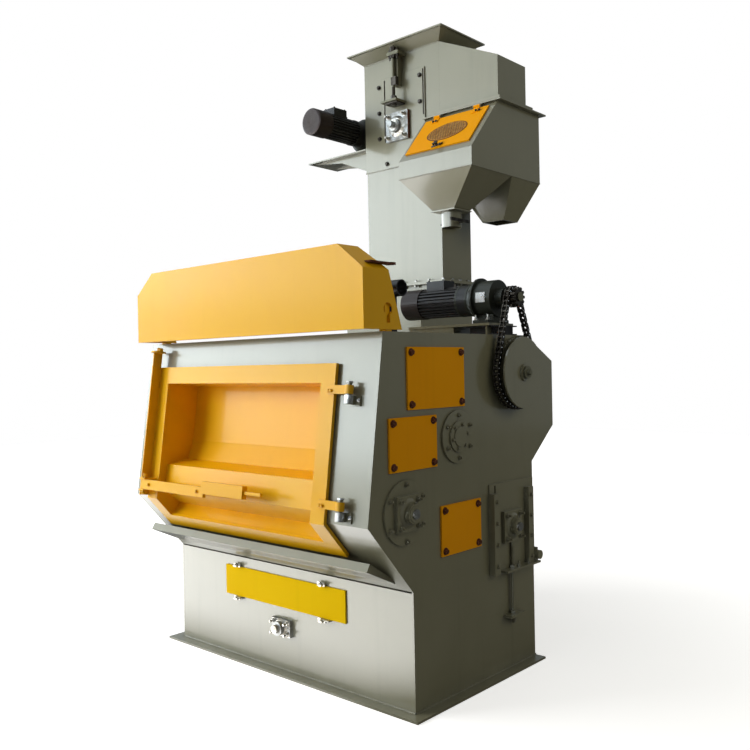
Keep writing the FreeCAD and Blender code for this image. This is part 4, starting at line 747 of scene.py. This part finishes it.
def take_up_details():
    """The screw's thread, its nuts above and below the sliding plate, and the black stop block."""
    work = bmesh.new()
    for low, high in ((3045, 3120), (3300, 3362)):
        thread(work, mm(SCREW_X, SCREW_Y, low), mm(SCREW_X, SCREW_Y, high), SCREW_RADIUS)
    for z in (3039, 3052, 3009, 3290, 3327, 3341):
        barrel(work, mm(SCREW_X, SCREW_Y, z), (0, 0, 1), 0.019, NUT_TALL, 6)
    for x in (-217, -160):
        stud(work, mm(x, SCREW_Y, 3305), (0, 0, -1), 0.017, 1.5)
        bolt(work, mm(x, SCREW_Y, 3326), (0, 0, 1), 0.017)
    slab(work, mm(-204, 1108, 3128), mm(-168, 1135, 3176))
    slab(work, mm(-240, 1092, 3018), mm(-150, 1168, 3026.5))
    piece("take_up_details", work, OILED)


def take_up_channel():
    """The light channel in which the screw runs."""
    work = bmesh.new()
    slab(work, mm(-206, 1133, 3178), mm(-170, 1135.8, 3300))
    slab(work, mm(-206, 1118, 3178), mm(-203, 1133, 3300))
    piece("take_up_channel", work, GREEN)


def slot_shadows():
    """Dark plates in the two slots: painted shadow at their bottoms."""
    work = bmesh.new()
    slab(work, mm(-316, 1177, 2823.5), mm(-306, 1179.8, 3196.5))
    slab(work, mm(-17, 1177, 2930.5), mm(-7, 1179.8, 3196.5))
    piece("slot_shadows", work, OILED)


head_bolts()
head_bearing_bolts()
head_bearing_rust()
take_up_details()
take_up_channel()
slot_shadows()

# %% [markdown]
# The hatch is a sloping panel with an oval vent. A helper turns a place on the slope into a point in
# space, so rim, sheet, holes and turn button are laid out flat and land on the panel.

# %% Hatch vent
SLOPE_TOP = (1170.0, 2892.0)
SLOPE_FORWARD, SLOPE_DROP = 254.0, 292.0
SLOPE_RUN = math.hypot(SLOPE_FORWARD, SLOPE_DROP)
SLOPE_DOWN = (-SLOPE_FORWARD / SLOPE_RUN, -SLOPE_DROP / SLOPE_RUN)


def on_slope(x, down, out):
    """A point on the separator's sloping front, out in front of it."""
    y = SLOPE_TOP[0] + SLOPE_DOWN[0] * down + SLOPE_DOWN[1] * out
    z = SLOPE_TOP[1] + SLOPE_DOWN[1] * down - SLOPE_DOWN[0] * out
    return mm(x, y, z)


SLOPE_NORMAL = Vector((0, SLOPE_DOWN[1], -SLOPE_DOWN[0]))
VENT_ACROSS, VENT_TALL = 128.0, 74.0
VENT_X, VENT_DOWN = 258.0, 196.0
VENT_STEP, VENT_EDGE = 11.5, 7.0
OUTLINE_CORNERS = 48


def hatch_vent():
    """The oval vent: a dark rim, a rusty sheet and its rows of small holes."""
    rim = bmesh.new()
    sheet_work = bmesh.new()
    holes = bmesh.new()
    turns = [2 * math.pi * index / OUTLINE_CORNERS for index in range(OUTLINE_CORNERS)]
    for work, scale, low, high in ((rim, 1.05, 8.1, 9.4), (sheet_work, 1.0, 8.1, 10.2)):
        wide, tall = VENT_ACROSS * scale, VENT_TALL * scale
        rings = []
        for out in (low, high):
            rings.append([work.verts.new(on_slope(VENT_X + wide * math.cos(turn),
                                                  VENT_DOWN + tall * math.sin(turn), out))
                          for turn in turns])
        work.faces.new(rings[1])
        for index in range(OUTLINE_CORNERS):
            following = (index + 1) % OUTLINE_CORNERS
            work.faces.new((rings[0][index], rings[0][following], rings[1][following], rings[1][index]))
    for row in range(-7, 8):
        for column in range(-12, 13):
            x = (column + 0.5 * (row % 2)) * VENT_STEP
            down = row * VENT_STEP * 0.87
            if (x / (VENT_ACROSS - VENT_EDGE)) ** 2 + (down / (VENT_TALL - VENT_EDGE)) ** 2 < 1:
                place = on_slope(VENT_X + x, VENT_DOWN + down, 10.2)
                barrel(holes, place, SLOPE_NORMAL, 0.0036, 0.0004, 8)
    piece("vent_rim", rim, BROWN, "hatch")
    piece("vent_sheet", sheet_work, VENT, "hatch")
    piece("vent_holes", holes, OILED, "hatch")


def hatch_latch():
    """The turn button at the foot of the hatch and the screws of its straps."""
    work = bmesh.new()
    foot = on_slope(250, 318, 8)
    barrel(work, foot, SLOPE_NORMAL, 0.008, 0.022, 12)
    barrel(work, on_slope(250, 318, 24), SLOPE_NORMAL, 0.013, 0.008, 6)
    for shift in (-26, 26):
        barrel(work, on_slope(250 + shift, 318 + shift * 0.3, 12), SLOPE_NORMAL, 0.006, 0.010, 10)
    low = on_slope(216, 325, 10)
    high = on_slope(284, 311, 10)
    along = (high - low).normalized()
    barrel(work, low, along, 0.006, (high - low).length, 8)
    for x in (92, 388):
        for shift in (10, 30):
            bolt(work, on_slope(x + shift, 68, 12), SLOPE_NORMAL, 0.011, shift)
    piece("hatch_latch", work, OILED, "hatch")


hatch_vent()
hatch_latch()

# %% [markdown]
# Both gear motors are alike, so one function dresses either of them, given the fan end and the
# direction of the shaft. Distances along the motor are in millimetres from the fan end.

# %% Motors


def motor_details(name, start, along):
    """Cowl, cooling holes, flange bolts, lifting eye and lid screws of one motor."""
    along = Vector(along)
    across = Vector((0, 0, 1)).cross(along)
    base = Vector(start)

    def at(distance, side, up):
        return (base + along * distance + across * side + Vector((0, 0, up))) / 1000.0

    cowl = bmesh.new()
    barrel(cowl, at(-5, 0, 0), along, 0.070, 0.005, 40, 0.0793)
    barrel(cowl, at(0, 0, 0), along, 0.0793, 0.111, 40)
    piece(name + "_cowl", cowl, COWL)
    work = bmesh.new()
    for radius in (18, 30, 42, 54):
        for index in range(28):
            turn = 2 * math.pi * index / 28
            place = at(-5.2, radius * math.cos(turn), radius * math.sin(turn))
            barrel(work, place, -along, 0.0024, 0.0006, 6)
    for index in range(8):
        turn = 2 * math.pi * (index + 0.5) / 8
        bolt(work, at(454, 97 * math.cos(turn), 97 * math.sin(turn)), -along, 0.012, turn)
    for distance in (160, 250):
        for side in (-37, 37):
            bolt(work, at(distance, side, 110), (0, 0, 1), 0.009, side)
    barrel(work, at(300, 0, 70), (0, 0, 1), 0.009, 0.018, 10)
    piece(name + "_screws", work, OILED)
    return at


def motor_rings(name, at, along):
    """Joint rings between motor, adapter and gear case, and the studs of its feet."""
    along = Vector(along)
    work = bmesh.new()
    for distance, radius in ((346, 79), (406, 80)):
        barrel(work, at(distance, 0, 0), along, radius / 1000.0, 0.013, 48)
    barrel(work, at(454, 0, 0), along, 0.1052, 0.010, 48)
    piece(name + "_rings", work, GEAR_GREEN)
    feet = bmesh.new()
    for distance in (475, 545):
        for side in (-76, 76):
            stud(feet, at(distance, side, -104), (0, 0, 1), 0.017, 1.5, side)
    piece(name + "_foot_bolts", feet, ZINC)


for name, fan_end, along in (("drive_motor", (214.7, 741, 1777.8), (1, 0, 0)),
                             ("head_motor", (-592, 822, 2938), (0, 1, 0))):
    motor_rings(name, motor_details(name, fan_end, along), along)


def bare_plate():
    """The blank metal plate on the gear case."""
    work = bmesh.new()
    slab(work, mm(700, 648.6, 1758), mm(752, 651.4, 1806))
    piece("bare_plate", work, STEEL)


bare_plate()

# %% [markdown]
# Two short channels carry the outer end of the gear motor, on the side of the chain. Each channel is
# two flanges and a web, made of three flat boxes.

# %% Stand under the gear motor
RAIL_WIDE, RAIL_SKIN = 42, 6


def stand_rails():
    """Two black channels, their webs toward each other, and the plate that joins their ends."""
    work = bmesh.new()
    for low_y, web_y in ((648, 684), (792, 792)):
        slab(work, mm(640, low_y, 1600.2), mm(812, low_y + RAIL_WIDE, 1606))
        slab(work, mm(640, low_y, 1640), mm(812, low_y + RAIL_WIDE, 1645.6))
        slab(work, mm(640, web_y, 1606), mm(812, web_y + RAIL_SKIN, 1640))
    slab(work, mm(806, 690, 1600.2), mm(812, 792, 1645.6))
    piece("stand_rails", work, BLACK)


stand_rails()

# %% [markdown]
# A roller chain shows the riveted end of every pin. The pins' centres follow from the two wheels and
# the pitch, by walking round the loop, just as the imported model's links were placed.

# %% Chain rivets
PITCH = 25.4
LARGE, SMALL = 41, 11
LARGE_PLACE = Vector(DRIVE_SHAFT)
SMALL_PLACE = Vector((741.0, 1777.84))
CHAIN_MIDDLE = HALF + 33
CHAIN_HALF_WIDTH = 11.8


def chain_pins():
    """Pin centres round the loop: on the large wheel, a straight run, the small wheel, a straight run."""
    large = PITCH / 2 / math.sin(math.pi / LARGE)
    small = PITCH / 2 / math.sin(math.pi / SMALL)
    gap = SMALL_PLACE - LARGE_PLACE
    lean = math.asin((large - small) / gap.length)
    straight = gap.length * math.cos(lean)
    leave = math.atan2(gap.y, gap.x) + math.pi / 2 - lean
    legs = ((LARGE_PLACE, large, LARGE, leave, math.pi + 2 * lean),
            (SMALL_PLACE, small, SMALL, leave - math.pi + 2 * lean, math.pi - 2 * lean))
    points = []
    position = start = 0.0
    for centre, radius, teeth, first, sweep in legs:
        step = 2 * math.pi / teeth
        while position < start + sweep / step:
            angle = first + (position - start) * step
            points.append((centre.x + radius * math.cos(angle), centre.y + radius * math.sin(angle)))
            position += 1
        start += sweep / step
        last = first + sweep
        foot = centre + Vector((math.cos(last), math.sin(last))) * radius
        heading = Vector((-math.sin(last), math.cos(last)))
        while position < start + straight / PITCH - 1e-6:
            place = foot + heading * (position - start) * PITCH
            points.append((place.x, place.y))
            position += 1
        start += straight / PITCH
    return points


def chain_rivets():
    """Rivet heads on both sides of the chain, over every pin."""
    work = bmesh.new()
    for y, z in chain_pins():
        for side in (1, -1):
            x = CHAIN_MIDDLE + side * CHAIN_HALF_WIDTH
            barrel(work, mm(x, y, z), (side, 0, 0), 0.0046, 0.0034, 10, 0.0034)
    piece("chain_rivets", work, STEEL)


print("chain rivets", len(chain_pins()))
chain_rivets()

# %% [markdown]
# The large wheel is held on its shaft by a washer and a bolt. The small wheel has a plain ring.

# %% Wheel hub cap


def wheel_cap():
    """The painted washer and bolt over the end of the driven shaft, and the small wheel's ring."""
    work = bmesh.new()
    barrel(work, mm(HALF + 96, *LARGE_PLACE), (1, 0, 0), 0.030, 0.005, 32)
    bolt(work, mm(HALF + 101, *LARGE_PLACE), (1, 0, 0), 0.022)
    barrel(work, mm(HALF + 76, *SMALL_PLACE), (1, 0, 0), 0.022, 0.004, 24)
    # The shaded copy of the green paint: painted shade.
    piece("wheel_cap", work, SHADED_OLIVE)


wheel_cap()

# %% [markdown]
# The elevator's column stands on its casing with a flange pair, bolted all round from both sides.

# %% Elevator flange bolts


def flange_bolts():
    """Bolts through the flange pair between elevator casing and column."""
    work = bmesh.new()
    places = []
    for index in range(7):
        x = -488 + index * 101
        places += [(x, 1160), (x, 1481)]
    for index in range(3):
        y = 1245 + index * 76
        places += [(-491, y), (121, y)]
    for x, y in places:
        bolt(work, mm(x, y, 1953), (0, 0, 1), 0.017, x)
        bolt(work, mm(x, y, 1937), (0, 0, -1), 0.017, y)
    piece("flange_bolts", work, ZINC)


flange_bolts()

# %% [markdown]
# A rusty flat bar with a round end lies on the right shoulder of the yellow hood, to lift it by.

# %% Hood lug


def hood_lug():
    """The rusty lifting lug on the hood's right shoulder."""
    work = bmesh.new()
    slab(work, mm(772, -212, 1875), mm(804, -66, 1883))
    barrel(work, mm(788, -74, 1875), (0, 0, 1), 0.024, 0.008, 20)
    piece("hood_lug", work, BROWN)


hood_lug()

# %% [markdown]
# The machine is welded from plate, and its seams show as lumpy beads. They run along the toe, the
# elevator's edges, the chute and the separator's nose, half sunk into the corner they fill.

# %% Welds
COLUMN_FRONT, COLUMN_BACK = 1180, 1461
COLUMN_LEFT, COLUMN_RIGHT = -471, 101


def welds():
    """Fillet welds along the toe, the elevator's edges, the chute and the separator's nose."""
    work = bmesh.new()
    bead(work, mm(-HALF, -1, 11), mm(HALF, -1, 11), 0.0045, 1.0)
    for side in (1, -1):
        bead(work, mm(side * (HALF + 1), 0, 11), mm(side * (HALF + 1), 941, 11), 0.0045, 2.0 + side)
    bead(work, mm(COLUMN_LEFT, 1179.5, 1954), mm(COLUMN_RIGHT, 1179.5, 1954), 0.0035, 4.0)
    bead(work, mm(101.5, COLUMN_FRONT, 1954), mm(101.5, COLUMN_BACK, 1954), 0.0035, 5.0)
    bead(work, mm(-481, 1179.5, 2660), mm(0, 1179.5, 2660), 0.003, 6.0)
    bead(work, mm(-481, 1179.5, 3326), mm(COLUMN_RIGHT, 1179.5, 3326), 0.0035, 7.0)
    bead(work, mm(8, 915.5, 2502), mm(504, 915.5, 2502), 0.003, 8.0)
    bead(work, mm(504.5, 916, 2502), mm(504.5, 1592, 2502), 0.003, 9.0)
    bead(work, mm(101, 1179.5, 2916), mm(500, 1179.5, 2916), 0.003, 10.0)
    bead(work, mm(-481.5, 1190, 2818.5), mm(-481.5, 1450, 2818.5), 0.004, 11.0)
    piece("welds", work, GREEN)


welds()

# %% [markdown]
# These pieces ride on the door and its lever. The door leans back, so places are given on its face: to
# the side, up along the face and out from it.

# %% Lever details
FACE_UP = Vector((0, 0.14017, 0.99013))
FACE_OUT = Vector((0, -0.99013, 0.14017))
NOSE = Vector((0, -271, 823))


def on_face(x, rise, stand):
    """A point on the leaning door face: to the side, up along it and out from it."""
    return (Vector((x, 0, 0)) + NOSE + FACE_UP * rise + FACE_OUT * stand) / 1000.0


def lever_details():
    """Bolts of the lever, of its clevis and of the hinges, and the hinges' steel sleeves."""
    latch = bmesh.new()
    for x in (-600, -200):
        bolt(latch, on_face(x, 60, 82), FACE_OUT, 0.013)
    piece("lever_bolts", latch, YELLOW, "latch")
    door = bmesh.new()
    bolt(door, on_face(-650, 96, 74), FACE_UP, 0.022)
    bolt(door, on_face(-650, 24, 74), -FACE_UP, 0.022)
    bolt(door, on_face(-672, 733, 46), FACE_UP, 0.030)
    for rise in (545, 74):
        for x in (572, 586):
            bolt(door, on_face(x, rise - 4, 33), FACE_OUT, 0.012)
    piece("door_bolts", door, YELLOW, "door")
    hinge = bmesh.new()
    for rise in (525, 54):
        barrel(hinge, on_face(690, rise - 37, 34), FACE_UP, 0.0186, 0.034, 24)
        barrel(hinge, on_face(690, rise + 49, 34), FACE_UP, 0.015, 0.006, 20)
        for x in (674, 722):
            bolt(hinge, on_face(x, rise - 20, 7), FACE_OUT, 0.011)
    piece("hinge_steel", hinge, STEEL)


lever_details()

# %% [markdown]
# The floor is pale so that the contact shadow reads, and it fades to white away from the machine. Only
# the camera sees it bright, and light that bounces off it is weak. To glossy rays alone its front left
# part glows, a painted reflection in the paint, though it is no lamp.

# %% Floor
FLOOR_GLOW = 5.0
FLOOR_HALF = 14.0


def make_floor():
    work = bmesh.new()
    bmesh.ops.create_grid(work, x_segments=1, y_segments=1, size=FLOOR_HALF)
    mesh = bpy.data.meshes.new("floor")
    work.to_mesh(mesh)
    work.free()
    floor = bpy.data.objects.new("floor", mesh)
    scene.collection.objects.link(floor)
    made, tree, shader, where = new_material("pale_floor")
    path = tree.nodes.new("ShaderNodeLightPath")
    seen = path.outputs["Is Camera Ray"]
    tree.links.new(blend(tree, seen, (0.26, 0.26, 0.25), (0.9, 0.9, 0.9)), shader.inputs["Base Color"])
    shader.inputs["Roughness"].default_value = 0.7
    shader.inputs["Emission Color"].default_value = (1.0, 1.0, 1.0, 1.0)
    away = tree.nodes.new("ShaderNodeVectorMath")
    away.operation = "LENGTH"
    tree.links.new(where, away.inputs[0])
    far = math_node(tree, "MULTIPLY_ADD", ramp(tree, away.outputs["Value"], 1.6, 5.0), 0.36, 0.64)
    spot = tree.nodes.new("ShaderNodeSeparateXYZ")
    tree.links.new(where, spot.inputs[0])
    # The front left of the floor, where it glows to glossy rays: painted reflection.
    glossy_glow_zone = ramp(tree, math_node(tree, "MULTIPLY", spot.outputs["Y"], -1.0), -0.2, 0.5)
    shaded = ramp(tree, spot.outputs["X"], 0.2, 1.3)
    glossy_glow_zone = math_node(tree, "SUBTRACT", glossy_glow_zone, shaded, clamp=True)
    painted_reflection = math_node(tree, "MULTIPLY", path.outputs["Is Glossy Ray"], FLOOR_GLOW)
    painted_reflection = math_node(tree, "MULTIPLY", painted_reflection, glossy_glow_zone)
    direct = math_node(tree, "MULTIPLY", seen, far)
    tree.links.new(math_node(tree, "ADD", direct, painted_reflection), shader.inputs["Emission Strength"])
    mesh.materials.append(made)


make_floor()
